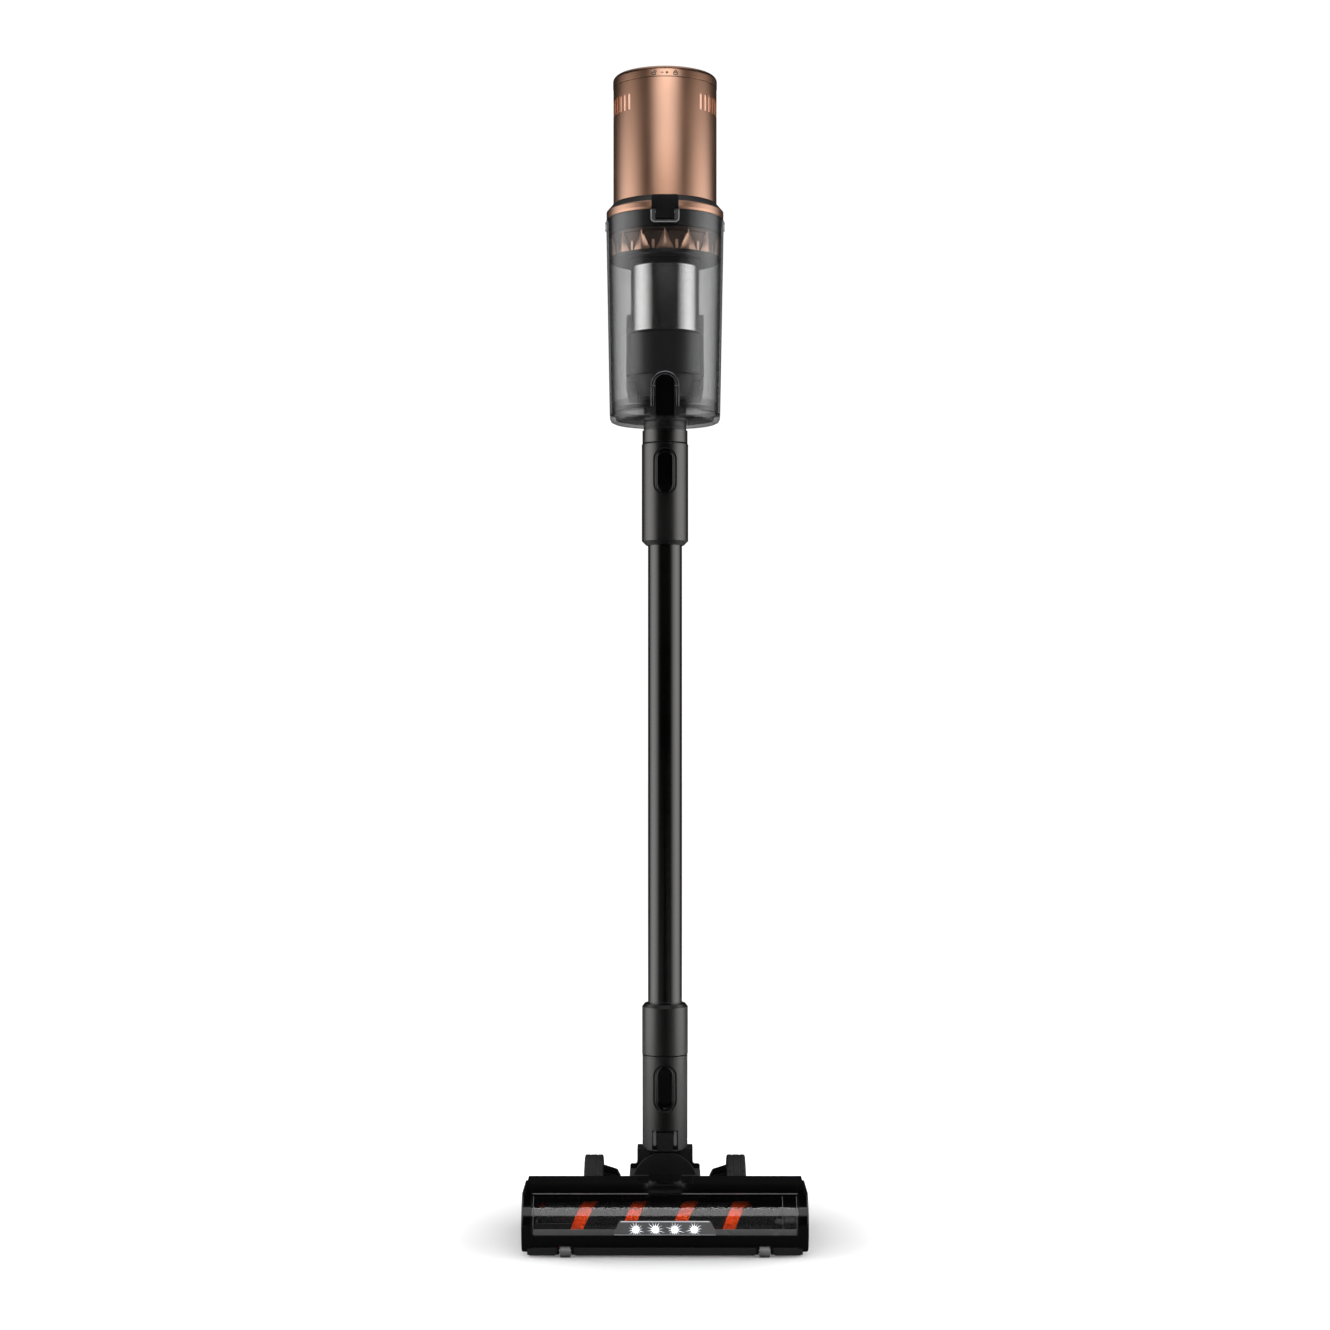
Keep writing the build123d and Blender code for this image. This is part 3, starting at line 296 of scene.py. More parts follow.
def lamp(name, colour, strength):
    """Surface that glows, with a fine sparkle: the lenses, and as painted light their glints, the frame and
    the liner.
    """
    finish = Finish(name, colour, 0.2)
    finish.set("Emission Color", (*colour, 1))
    cells = finish.noise(900, 2)
    finish.mottled(finish.ranged(cells, 0, 1), 0.9, 1.05)
    glow = finish.ranged(cells, strength * 0.8, strength)
    finish.links.new(glow, finish.shader.inputs["Emission Strength"])
    finish.bump(cells, 0.02)
    return finish.material


FINISHES = {
    "gloss_black": moulded("gloss_black", (0.0018, 0.0018, 0.002), 0.08, 0.14, 0.8, 0.002,
                           specular=0.4, edge_mm=0.5),
    "matte_black": moulded("matte_black", (0.009, 0.009, 0.0095), 0.40, 0.52, 0.3, 0.02),
    "smoked_clear": clear("smoked_clear", (0.020, 0.020, 0.021), 0.29, 0.72, 1.5),
    "window_clear": clear("window_clear", (0.012, 0.012, 0.013), 0.12, 0.45, 2.4),
    "bezel_smoke": moulded("bezel_smoke", (0.15, 0.15, 0.155), 0.16, 0.26, 0.6, 0.004,
                           coat=0.4, edge_mm=0.6),
    "lamp_white": lamp("lamp_white", (0.93, 0.96, 1.0), 3.2),
    # frame glow: a painted highlight round the lamp housing; the frame is no lamp
    "frame_painted_glow": lamp("frame_painted_glow", (0.90, 0.93, 1.0), 0.06),
    # lamp_glint: the status lights' own glow, and the painted glints round the lenses
    "lamp_glint": lamp("lamp_glint", (0.90, 0.93, 1.0), 1.5),
    "steel": brushed("steel", (0.50, 0.50, 0.51), 0.2, 0.34, (0.03, 1, 1)),
    "screen_steel": brushed("screen_steel", (0.98, 0.98, 0.96), 0.12, 0.18),
    "graphite": metal_paint("graphite", (0.058, 0.057, 0.056), 0.30, 0.38, 0.3, coat=0.1),
    "wand_black": metal_paint("wand_black", (0.045, 0.044, 0.043), 0.2, 0.27, 0.2, coat=0.3),
    "bronze": metal_paint("bronze", (0.335, 0.183, 0.120), 0.29, 0.37, 0.22, coat=0.4),
    # copper liner: its faint glow is painted light that brightens the vent slots; the liner is no lamp
    "copper_liner_painted_glow": lamp("copper_liner_painted_glow", (0.95, 0.60, 0.46), 0.42),
    "dark_trim": moulded("dark_trim", (0.010, 0.0098, 0.0098), 0.2, 0.3, 0.4, 0.006),
    "rubber_black": moulded("rubber_black", (0.012, 0.012, 0.012), 0.6, 0.75, 0.5, 0.04, specular=0.4),
    "bristle_dark": woven("bristle_dark", (0.010, 0.010, 0.010), 0.4, 0.1),
    "bristle_orange": woven("bristle_orange", (0.95, 0.105, 0.004), 0.4, 0.1, sheen=0.0),
    "filter_white": woven("filter_white", (0.70, 0.70, 0.66), 0.6, 0.15),
    "roller_grey": moulded("roller_grey", (0.20, 0.20, 0.205), 0.2, 0.3, 0.5, 0.004),
    # pale lines on the window's top edge, foot and ends: painted highlights
    "window_painted_highlight": moulded("window_painted_highlight", (0.13, 0.13, 0.132), 0.2, 0.3, 0.5, 0.004, coat=0.3, edge_mm=0),
    # pale grey: on the latch frame and lever arches it is a painted highlight
    "pale_grey_and_painted_highlight": moulded("pale_grey_and_painted_highlight", (0.42, 0.42, 0.43), 0.14, 0.22, 0.5, 0.004, coat=0.6, edge_mm=0),
    # lit and shaded copies of the bronze: painted light on the crown fins, painted shade on the crown ring
    "bronze_painted_light": metal_paint("bronze_painted_light", (0.92, 0.58, 0.42), 0.3, 0.4, 0.3, coat=0.2),
    "bronze_painted_shade": metal_paint("bronze_painted_shade", (0.16, 0.105, 0.078), 0.35, 0.45, 0.3, coat=0.0),
    "shroud_grey": moulded("shroud_grey", (0.030, 0.030, 0.031), 0.3, 0.4, 0.4, 0.01, edge_mm=0.6),
    "cell_blue": moulded("cell_blue", (0.05, 0.12, 0.30), 0.25, 0.35, 0.6, 0.006),
    "board_green": moulded("board_green", (0.01, 0.10, 0.04), 0.3, 0.4, 0.5, 0.01),
    "motor_can": brushed("motor_can", (0.60, 0.60, 0.61), 0.25, 0.38),
}

NODE_FINISH = {
    "gloss_black": "duct_cover head_base head_top_cover end_cap_left end_cap_right "
                   "front_bumper cup_latch lid_latch",
    "matte_black": "neck_base neck_knuckle rear_hub_left rear_hub_right cyclone_head "
                   "handle_left handle_right battery_case battery_latch cup_latch_bracket",
    "window_clear": "brush_window",
    "bezel_smoke": "led_housing",
    "smoked_clear": "dust_cup cup_lid",
    "steel": "axles swivel_pins latch_pins handle_screws brush_bearings",
    "graphite": "neck_tube wand_lower_collar wand_upper_collar inlet_duct",
    "wand_black": "wand_tube",
    "bronze": "motor_housing filter_cap clamp_ring",
    "dark_trim": "trigger mode_button brush_core roller_motor suction_motor",
    "rubber_black": "lid_seal motor_mount",
    "roller_grey": "front_roller_left front_roller_right",
    "shroud_grey": "shroud_frame inner_cone",
    "cell_blue": "battery_cells",
    "board_green": "main_pcb",
    "motor_can": "fan_rotor",
}

for finish_name, node_names in NODE_FINISH.items():
    for node_name in node_names.split():
        NODES[node_name].data.materials.clear()
        NODES[node_name].data.materials.append(FINISHES[finish_name])


# ---------------------------------------------------------------- mesh building
class Shape:
    """Corners and faces gathered in millimetres before they become one piece."""

    def __init__(self):
        self.corners, self.faces = [], []

    def loft(self, rings, wrap=True, ends=False):
        """Skin a run of equally long rings; wrap closes each ring and ends fills the first and last."""
        start, count = len(self.corners), len(rings[0])
        for ring in rings:
            self.corners.extend(ring)
        for row in range(len(rings) - 1):
            for index in range(count if wrap else count - 1):
                here = start + row * count
                near, far = here + index, here + (index + 1) % count
                self.faces.append((near, far, far + count, near + count))
        if ends:
            last = start + (len(rings) - 1) * count
            self.faces.append(tuple(range(start + count - 1, start - 1, -1)))
            self.faces.append(tuple(range(last, last + count)))
        return self

    def lathe(self, profile, centre, axis="z", steps=96, closed=True):
        """Turn (radius, place along the axis) points about a line; centre is its other two coordinates."""
        rings = []
        for radius, place in profile + profile[:1] if closed else profile:
            ring = []
            for index in range(steps):
                turn = tau * index / steps
                first, second = centre[0] + radius * cos(turn), centre[1] + radius * sin(turn)
                ring.append({"x": (place, first, second), "y": (first, place, second),
                             "z": (first, second, place)}[axis])
            rings.append(ring)
        return self.loft(rings)

    def bead(self, points, size):
        """Round bead along an open path that faces the front."""
        rings = []
        last = len(points) - 1
        for index, point in enumerate(points):
            before, after = points[max(0, index - 1)], points[min(last, index + 1)]
            side = (Vector(after) - Vector(before)).cross(Vector((0, -1, 0))).normalized()
            rings.append([(point[0] + side.x * size * cos(tau * i / 10), point[1] + size * sin(tau * i / 10),
                           point[2] + side.z * size * cos(tau * i / 10)) for i in range(10)])
        return self.loft(rings, ends=True)

    def plate(self, middle, across, along, width, length, thick, ease):
        """Rounded stadium plate with eased edges, standing up from middle."""
        middle, across, along = Vector(middle), Vector(across).normalized(), Vector(along).normalized()
        up = across.cross(along)
        rings = []
        for inset, rise in ((0, 0), (0, thick - ease), (0.3 * ease, thick - 0.3 * ease), (ease, thick)):
            rings.append([tuple(middle + across * u + along * v + up * rise)
                          for u, v in stadium(width - 2 * inset, length - 2 * inset)])
        return self.loft(rings, ends=True)


def stadium(width, length, steps=10):
    """Points round a stadium that is longest along its second coordinate."""
    radius = width / 2
    straight = max(0.0, length / 2 - radius)
    points = []
    for end, first in ((1, 0), (-1, pi)):
        for index in range(steps + 1):
            turn = first + pi * index / steps
            points.append((radius * cos(turn), end * straight + radius * sin(turn)))
    return points


def eased(points, radius, steps=4, closed=True):
    """A profile with its corners rounded, by a smooth curve that starts radius before each."""
    result = []
    count = len(points)
    for index, point in enumerate(points):
        if not closed and index in (0, count - 1):
            result.append(point)
            continue
        here = Vector(point)
        before, after = Vector(points[index - 1]), Vector(points[(index + 1) % count])
        start = here + (before - here).normalized() * min(radius, (before - here).length * 0.48)
        stop = here + (after - here).normalized() * min(radius, (after - here).length * 0.48)
        for step in range(steps + 1):
            share = step / steps
            result.append(tuple(start * (1 - share) ** 2 + here * 2 * share * (1 - share) + stop * share**2))
    return result


def piece(name, shape, finish, body, replaces=(), sharp=35):
    """Make a shape into a shaded object that rides on a CAD body."""
    mesh = bpy.data.meshes.new(name)
    mesh.from_pydata([(x * MM, y * MM, z * MM) for x, y, z in shape.corners], [], shape.faces)
    work = bmesh.new()
    work.from_mesh(mesh)
    bmesh.ops.remove_doubles(work, verts=work.verts, dist=0.002 * MM)
    bmesh.ops.recalc_face_normals(work, faces=work.faces)
    work.to_mesh(mesh)
    work.free()
    mesh.polygons.foreach_set("use_smooth", [True] * len(mesh.polygons))
    mesh.set_sharp_from_angle(angle=radians(sharp))
    mesh.materials.append(FINISHES[finish])
    obj = bpy.data.objects.new(name, mesh)
    bpy.context.scene.collection.objects.link(obj)
    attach(obj, body)
    if replaces:
        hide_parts(*replaces)
    return obj


# ---------------------------------------------------------------- cyclone and motor
def build_screen():
    """Perforated steel screen: rows of round holes, each row half a pitch on from the last."""
    around, margin = 96, 1.4
    pitch = tau * SCREEN_R / around
    rows = int((SCREEN_HIGH.z - SCREEN_LOW.z - 2 * margin) / pitch)
    tall = (SCREEN_HIGH.z - SCREEN_LOW.z - 2 * margin) / rows
    hole = 0.2 * pitch
    shape = Shape()

    def on_screen(along, z):
        turn = along / SCREEN_R
        return SCREEN_R * sin(turn), AXIS_Y - SCREEN_R * cos(turn), z

    for row in range(rows):
        middle_z = SCREEN_LOW.z + margin + (row + 0.5) * tall
        for column in range(around):
            middle = (column + 0.5 * (row % 2)) * pitch
            outside, inside = [], []
            for index in range(8):
                turn = tau * index / 8
                edge = 1 / max(abs(cos(turn)), abs(sin(turn)))
                outside.append(on_screen(middle + 0.5 * pitch * edge * cos(turn),
                                         middle_z + 0.5 * tall * edge * sin(turn)))
                inside.append(on_screen(middle + hole * cos(turn), middle_z + hole * sin(turn)))
            shape.loft([outside, inside])
    for low, high in ((SCREEN_LOW.z, SCREEN_LOW.z + margin), (SCREEN_HIGH.z - margin, SCREEN_HIGH.z)):
        shape.loft([[on_screen(index * pitch / 2, z) for index in range(2 * around)] for z in (low, high)])
    piece("screen_perforated", shape, "screen_steel", "hand_unit", ["mesh_screen"])
    core = Shape().lathe(
        eased([(26.8, SCREEN_LOW.z), (27.4, SCREEN_LOW.z), (27.4, SCREEN_HIGH.z - 1),
               (26.8, SCREEN_HIGH.z - 1)], 0.3), (0, AXIS_Y))
    piece("screen_core", core, "dark_trim", "hand_unit")


def build_crown():
    """Ring of pointed, ridged fins with small clips between them, on a ring; the fins wear a lighter copy of
    the bronze as painted light and the ring a darker copy as painted shade.
    """
    low, high = span("cyclone_crown")
    count, outer = 14, high.x
    half_foot, half_tip = radians(9.4), radians(0.3)
    section = ((-1, 3.2), (-1, 1.5), (-0.55, 0.75), (-0.08, 0.05),      # share of the half width and
               (0.08, 0.05), (0.55, 0.75), (1, 1.5), (1, 3.2))          # depth behind the ridge
    clip_width, clip_length, clip_thick = 2.6, 8.6, 1.3
    fins = Shape()

    def spot(turn, radius, z):
        return radius * sin(turn), AXIS_Y - radius * cos(turn), z

    for index in range(count):
        middle = tau * index / count
        rings = []
        for share in (0, 0.04, 0.3, 0.6, 0.85, 1):
            half = half_foot * (1 - share) ** 1.1 + half_tip
            lift = 0.25 if share == 0 else 0
            z = low.z + 0.2 + (high.z - low.z - 1.4) * share
            ridge = outer - 0.1 - lift - 0.5 * share
            rings.append([spot(middle + half * side, ridge - drop, z) for side, drop in section])
        fins.loft(rings, ends=True)
        turn = middle + pi / count
        foot = spot(turn, outer - 2.4, low.z + 4.6)
        fins.plate(foot, (-cos(turn), -sin(turn), 0), (0, 0, 1), clip_width, clip_length, clip_thick, 0.4)
    piece("crown_fins", fins, "bronze_painted_light", "hand_unit", ["cyclone_crown"])
    ring = eased([(38, low.z), (46.2, low.z), (46.2, high.z - 3.6), (48.8, high.z - 3), (48.8, high.z),
                  (38, high.z)], 0.5)
    piece("crown_ring", Shape().lathe(ring, (0, AXIS_Y)), "bronze_painted_shade", "hand_unit")


def build_vent_liner():
    """Ribbed copper-coloured liner that shows through the motor's vents, with a faint painted glow that
    brightens the slots.
    """
    low, high = SHELL_HIGH.z - 30, SHELL_HIGH.z - 8
    rings = []
    steps = 360
    for z, extra in ((low, 0.0), (low, 0.75), (high, 0.75), (high, 0.0)):
        ring = []
        for index in range(steps):
            turn = tau * index / steps
            radius = SHELL_R - 2.15 + extra * (1 + 0.35 * cos(90 * turn))
            ring.append((radius * cos(turn), AXIS_Y + radius * sin(turn), z))
        rings.append(ring)
    piece("vent_liner", Shape().loft(rings), "copper_liner_painted_glow", "hand_unit")


def build_cap_marks():
    """Generic open lock, arrow and closed lock printed on the front of the cap."""
    radius, height = CAP_HIGH.x + 0.08, 1055.2
    shape = Shape()

    def line(points, width=0.75):
        for (s0, z0), (s1, z1) in zip(points, points[1:]):
            run = Vector((s1 - s0, z1 - z0))
            side = Vector((-run.y, run.x)).normalized() * width / 2
            corners = []
            for s, z in ((s0 + side.x, z0 + side.y), (s1 + side.x, z1 + side.y),
                         (s1 - side.x, z1 - side.y), (s0 - side.x, z0 - side.y)):
                corners.append((radius * sin(s / radius), AXIS_Y - radius * cos(s / radius), height + z))
            start = len(shape.corners)
            shape.corners.extend(corners)
            shape.faces.append((start, start + 1, start + 2, start + 3))

    for middle, swing in ((-10.0, 1.2), (9.5, 0.0)):
        line([(middle - 1.7, -1.9), (middle + 1.7, -1.9), (middle + 1.7, 0.2), (middle - 1.7, 0.2),
              (middle - 1.7, -1.9)])
        shackle = [(middle + swing + 1.1 * cos(pi * i / 6), 0.5 + 1.3 * sin(pi * i / 6)) for i in range(7)]
        line(shackle)
    line([(-3.6, 0), (2.4, 0)], 0.7)
    line([(1.0, 1.2), (2.9, 0), (1.0, -1.2)], 0.55)
    piece("cap_marks", shape, "matte_black", "filter_cap")


def build_filters():
    """Pleated exhaust filter in the cap and pleated filter under the motor."""
    low, high = span("exhaust_filter")
    pleats, depth = 64, 3.2
    rings = []
    for z, shrink in ((low.z, 1.0), (low.z + 1, 0), (high.z - 3, 0), (high.z - 2, 1.0)):
        ring = []
        for index in range(pleats * 4):
            turn = tau * index / (pleats * 4)
            fold = abs((index % 4) - 2) / 2
            radius = high.x - 0.4 - depth * fold - shrink
            ring.append((radius * cos(turn), AXIS_Y + radius * sin(turn), z))
        rings.append(ring)
    piece("exhaust_filter_pleats", Shape().loft(rings, ends=True), "filter_white", "filter_cap",
          ["exhaust_filter"], sharp=60)
    low, high = span("pre_filter")
    rings = []
    steps, waves = 240, 60
    middle = (low.z + high.z) / 2
    for side in (-1, 1):
        shell = []
        for radius in [11 + 1.5 * i for i in range(21)]:
            ring = []
            for index in range(steps):
                turn = tau * index / steps
                rise = 1.2 + 1.1 * (1 + cos(waves * turn))
                ring.append((radius * cos(turn), AXIS_Y + radius * sin(turn), middle + side * rise))
            shell.append(ring)
        rings.extend(shell if side < 0 else shell[::-1])
    piece("pre_filter_pleats", Shape().loft(rings + rings[:1]), "filter_white", "hand_unit",
          ["pre_filter"], sharp=60)


# ---------------------------------------------------------------- buttons
def build_pill(name, node, tube_r, body):
    """Glossy release button that follows its tube, with a rolled rim and a thumb dish."""
    low, high = span(node)
    width, length = high.x - low.x, high.z - low.z
    middle = (low.z + high.z) / 2
    shape = Shape()

    def ring(inset, radius):
        return [(x, -sqrt(radius**2 - x**2), middle + z)
                for x, z in stadium(width - 2 * inset, length - 2 * inset, 14)]

    outer = tube_r - 0.3
    centre = width / 2 - 0.2
    # Inset from the outline and height over the tube: underside, side, rolled rim, then the dish.
    steps = ((centre, -2.15), (4.0, -2.15), (0, -2.15), (0, -0.45), (0.12, -0.18), (0.4, 0), (1.1, 0),
             (1.5, -0.25), (2.2, -0.62), (4.0, -0.95), (6.0, -1.1), (centre, -1.15))
    shape.loft([ring(inset, outer + drop) for inset, drop in steps], ends=True)
    piece(name, shape, "gloss_black", body, [node])


def build_button_lip(name, node, tube_r, body):
    """Thin rolled lip round a button's recess."""
    low, high = span(node)
    middle = (low.z + high.z) / 2
    width, length = high.x - low.x, high.z - low.z
    rings = []
    section = ((2.0, -1.1), (2.15, -0.5), (2.5, -0.22), (2.9, -0.05), (3.2, 0.0), (3.5, -0.05), (3.5, -0.9))
    for grow, drop in section:
        radius = tube_r + drop
        rings.append([(x, -sqrt(radius**2 - x**2), middle + z)
                      for x, z in stadium(width + 2 * grow, length + 2 * grow - 1.6, 14)])
    piece(name, Shape().loft(rings), "dark_trim", body)


# ---------------------------------------------------------------- brush roll
ROW_LEAD = 45.4          # one turn of the left-handed helix, as on the CAD brush
ORANGE_FRONT = 11.6      # where the orange row crosses the front
ORANGE_WIDTH, DARK_WIDTH = 11.5, 32.0


def build_bristles(name, node, front_x, width, finish, gap, seed):
    """Dense tufts on a helical pad round the brush."""
    chance = random.Random(seed)
    low, high = span(node)
    tip = (high.z - low.z) / 2
    start, stop = low.x + width / 2, high.x - width / 2
    shape = Shape()

    def on_roll(x, turn, radius):
        return x, ROLL_Y + radius * cos(turn), ROLL_Z + radius * sin(turn)

    def phase(x):
        return pi + tau * (front_x - x) / ROW_LEAD

    pad_top = tip - 2.6
    rings = []
    for step in range(401):
        x = start + (stop - start) * step / 400
        turn = phase(x)
        half = width / 2
        profile = [(-half, CORE_R - 0.2), (-half, pad_top - 0.5)]
        profile += [(half * (i / 4 - 1) * 0.96, pad_top + 0.15 * sin(i * 2.1 + step * 0.9))
                    for i in range(9)]
        profile += [(half, pad_top - 0.5), (half, CORE_R - 0.2)]
        rings.append([on_roll(x + offset, turn, radius) for offset, radius in profile])
    shape.loft(rings, wrap=False)
    path = sqrt(1 + (tau * (CORE_R + tip) / 2 / ROW_LEAD) ** 2) * (stop - start)
    for along in range(int(path / gap)):
        for row in range(int(width / gap)):
            x = start + (along + chance.random()) * gap * (stop - start) / path
            offset = (row + chance.random()) * gap - width / 2
            turn = phase(x)
            reach = tip - chance.random() * 0.7
            lean_x, lean_turn = chance.uniform(-0.5, 0.5), chance.uniform(-0.03, 0.03)
            twist = chance.random() * tau
            rings = []
            for share, thick in ((0, 0.42), (0.6, 0.36), (1, 0.14)):
                radius = CORE_R + 0.5 + (reach - CORE_R - 0.5) * share
                ring = []
                for corner in range(3):
                    angle = twist + corner * tau / 3
                    ring.append(on_roll(x + offset + lean_x * share**2 + thick * cos(angle),
                                        turn + lean_turn * share**2 + thick * sin(angle) / radius, radius))
                rings.append(ring)
            base = len(shape.corners)
            shape.loft(rings)
            shape.faces.append((base + 6, base + 7, base + 8))
    piece(name, shape, finish, "brush_roll", [node], sharp=50)


# ---------------------------------------------------------------- floor head
def build_lamps():
    """Four lit lenses in the housing, each with a star of thin glowing slivers round it as painted glints.
    """
    low, high = span("led_lights")
    radius = (high.z - low.z) / 2
    height = (high.z + low.z) / 2
    lenses, glints = Shape(), Shape()
    reach = high.x - radius
    radius *= 0.84
    chance = random.Random(4)
    for index in range(4):
        x = reach * (2 * index / 3 - 1)
        front = low.y + 0.2
        dome = [(radius, front + 1.1)] + [
            (radius * cos(radians(a)), front + 0.9 - 0.9 * sin(radians(a))) for a in range(0, 90, 12)]
        dome.append((0.01, front))
        lenses.lathe(dome, (x, height), "y", 40, closed=False)
        # painted glints: thin glowing slivers that fan out from each lens
        for ray in range(14):
            turn = tau * (ray + 0.35) / 14
            inner, outer = radius + 0.3, radius + chance.uniform(2.6, 6.4)
            width = 0.2 + 0.12 * chance.random()
            along = Vector((cos(turn), sin(turn)))
            side = Vector((-along.y, along.x)) * width
            tipped = along * outer
            if not HOUSING_FOOT + 0.3 < height + tipped.y < HOUSING_TOP - 0.3:
                edge = HOUSING_FOOT + 0.5 if tipped.y < 0 else HOUSING_TOP - 0.5
                tipped = along * abs(edge - height) / abs(along.y)
            foot = along * inner
            start = len(glints.corners)
            for point in (foot + side, foot - side, tipped):
                glints.corners.append((x + point.x, low.y + 0.34, height + point.y))
            glints.faces.append((start, start + 1, start + 2))
    piece("lamp_lenses", lenses, "lamp_white", "floor_head", ["led_lights"])
    piece("lamp_painted_glints", glints, "lamp_glint", "floor_head")


def build_head_beads():
    """Thin pale lines on the head, painted highlights: the window's top edge, foot and ends, and round the
    lamp housing.
    """
    low, high = span("brush_window")
    shape = Shape()
    proud = NOSE_R + 0.05
    turn = radians(180 - WINDOW_TOP)
    middle = (NOSE_Y + proud * cos(turn), NOSE_Z + proud * sin(turn))
    rings = []
    for x, size in ((low.x, 0.2), (low.x + 1, 0.5), (high.x - 1, 0.5), (high.x, 0.2)):
        rings.append([(x, middle[0] + size * cos(tau * i / 12), middle[1] + size * sin(tau * i / 12))
                      for i in range(12)])
    shape.loft(rings, ends=True)
    piece("window_bead", shape, "window_painted_highlight", "floor_head")
    # band along the window's foot: a painted highlight
    foot = Shape()
    profile = [(NOSE_R + 0.02 + lift, a) for lift, a in (
        (0, -9.6), (0.22, -9.2), (0.3, -8.0), (0.3, -1.5), (0.22, -0.4), (0, 0))]
    rings = []
    for radius, degrees in profile:
        turn = radians(180 - degrees)
        rings.append([(low.x + 2 + (high.x - low.x - 4) * i / 60, NOSE_Y + radius * cos(turn),
                       NOSE_Z + radius * sin(turn)) for i in range(61)])
    piece("window_foot_painted_highlight", foot.loft(rings, wrap=False), "window_painted_highlight", "floor_head")
    # three lines up the window: painted highlights
    edges = Shape()
    for x in (low.x + 1.5, high.x - 14, high.x - 1.5):
        arc = [radians(180 - degrees) for degrees in range(-8, 56, 4)]
        edges.bead([(x, NOSE_Y + proud * cos(turn), NOSE_Z + proud * sin(turn)) for turn in arc], 0.2)
    piece("window_edge_painted_highlights", edges, "window_painted_highlight", "floor_head")
    # frame round the lamp housing: its pale faint glow is a painted highlight on the housing's edge
    low = span("led_housing")[0]
    outline = eased([(-HOUSING_FOOT_X, HOUSING_FOOT), (HOUSING_FOOT_X, HOUSING_FOOT),
                     (HOUSING_TOP_X, HOUSING_TOP), (-HOUSING_TOP_X, HOUSING_TOP)], 2.2, 5)
    middle_z, half_height = (HOUSING_FOOT + HOUSING_TOP) / 2, (HOUSING_TOP - HOUSING_FOOT) / 2
    shape = Shape()
    rings = []
    for inset, depth in ((0.0, 0.7), (0.0, 0.1), (0.25, -0.12), (0.75, -0.12), (1.0, 0.1), (1.0, 0.6)):
        share_x, share_z = 1 - inset / HOUSING_FOOT_X, 1 - inset / half_height
        rings.append([(x * share_x, low.y + 0.25 + depth, middle_z + (z - middle_z) * share_z)
                      for x, z in outline])
    shape.loft(rings)
    piece("lamp_frame", shape, "frame_painted_glow", "floor_head")


def build_wheel(side, word):
    """Grooved and blocked tyre, with a ringed hub cover whose spokes lie inside the hub, out of sight."""
    low, high = span(f"rear_tyre_{word}")
    radius = (high.z - low.z) / 2
    inner, outer = (low.x, high.x) if side > 0 else (high.x, low.x)
    width = abs(outer - inner)
    steps = 192
    shape = Shape()
    profile = [(25.0, 0.0), (30.0, 0.0), (32.6, 0.15), (33.6, 0.4), (radius - 0.5, 0.7), (radius - 0.1, 1.2)]
    grooves = (5.6, 12.4)
    place = 1.8
    while place < width - 1.8:
        depth = max((1 - abs(place - groove) / 0.7 for groove in grooves), default=0)
        profile.append((radius - 0.55 * max(0, depth), place))
        place += 0.35
    profile += [(r, width - x) for r, x in profile[5::-1]]
    rings = []
    for r, x in profile:
        ring = []
        shoulder = min(x, width - x) < 4.2 and r > 33.3
        for index in range(steps):
            cut = 0.75 if shoulder and index % 8 in (0, 1) else 0
            turn = tau * index / steps
            ring.append((inner + side * x, (r - cut) * cos(turn), WHEEL_Z + (r - cut) * sin(turn)))
        rings.append(ring)
    shape.loft(rings)
    piece(f"tyre_{word}", shape, "rubber_black", f"rear_wheel_{word}",
          [f"rear_tyre_{word}"], sharp=40)
    cover = Shape()
    face = side * 73.4
    for index in range(6):
        turn = tau * index / 6
        along = Vector((0, cos(turn), sin(turn)))
        across = Vector((0, -sin(turn), cos(turn))) * side
        middle = Vector((face - side * 0.3, 0, WHEEL_Z)) + along * 15.2
        cover.plate(middle, across, along, 3.4, 7.4, 1.5, 0.5)
    ring = eased([(20.6, face), (20.6, face + side * 1.5), (23.4, face + side * 1.8),
                  (24.6, face + side * 0.9), (24.6, face)], 0.5)
    cover.lathe(ring, (0, WHEEL_Z), "x")
    piece(f"hub_cover_{word}", cover, "dark_trim", f"rear_wheel_{word}")


# ---------------------------------------------------------------- handle and battery
def build_grip():
    """Status panel and lights on top of the grip, and ribs that lie inside the grip and battery cases."""
    pads = Shape()
    grip_x, grip_y, grip_foot, lean = 15.7, 101.5, 908, 0.055
    for side in (-1, 1):
        for index in range(15):
            z = grip_foot + index * 6
            y = grip_y + lean * (z - grip_foot)
            length = 17 - 0.25 * abs(index - 7)
            pads.plate((side * grip_x, y, z), (0, 0, side), (0, 1, 0), 3.0, length, 0.95, 0.5)
    piece("grip_ribs", pads, "rubber_black", "hand_unit")
    slope = Vector((0, 78, -14)).normalized()
    panel = Shape()
    panel.plate((0, 60, 1040.75), (1, 0, 0), slope, 17, 34, 1.1, 0.6)
    piece("status_panel", panel, "gloss_black", "hand_unit")
    lights = Shape()
    for index in range(3):
        lights.plate(Vector((0, 52, 1043.1)) + slope * 7 * index, (1, 0, 0), slope, 2.0, 4.4, 0.5, 0.25)
    piece("status_lights", lights, "lamp_glint", "hand_unit")
    ribs = Shape()
    low, high = span("battery_case")
    for side in (-1, 1):
        for index in range(5):
            z = low.z + 9 + index * 6
            ribs.plate((side * (high.x - 0.3), 82, z), (0, 0, side), (0, 1, 0), 2.6, 62, 0.9, 0.5)
    piece("battery_ribs", ribs, "rubber_black", "battery")


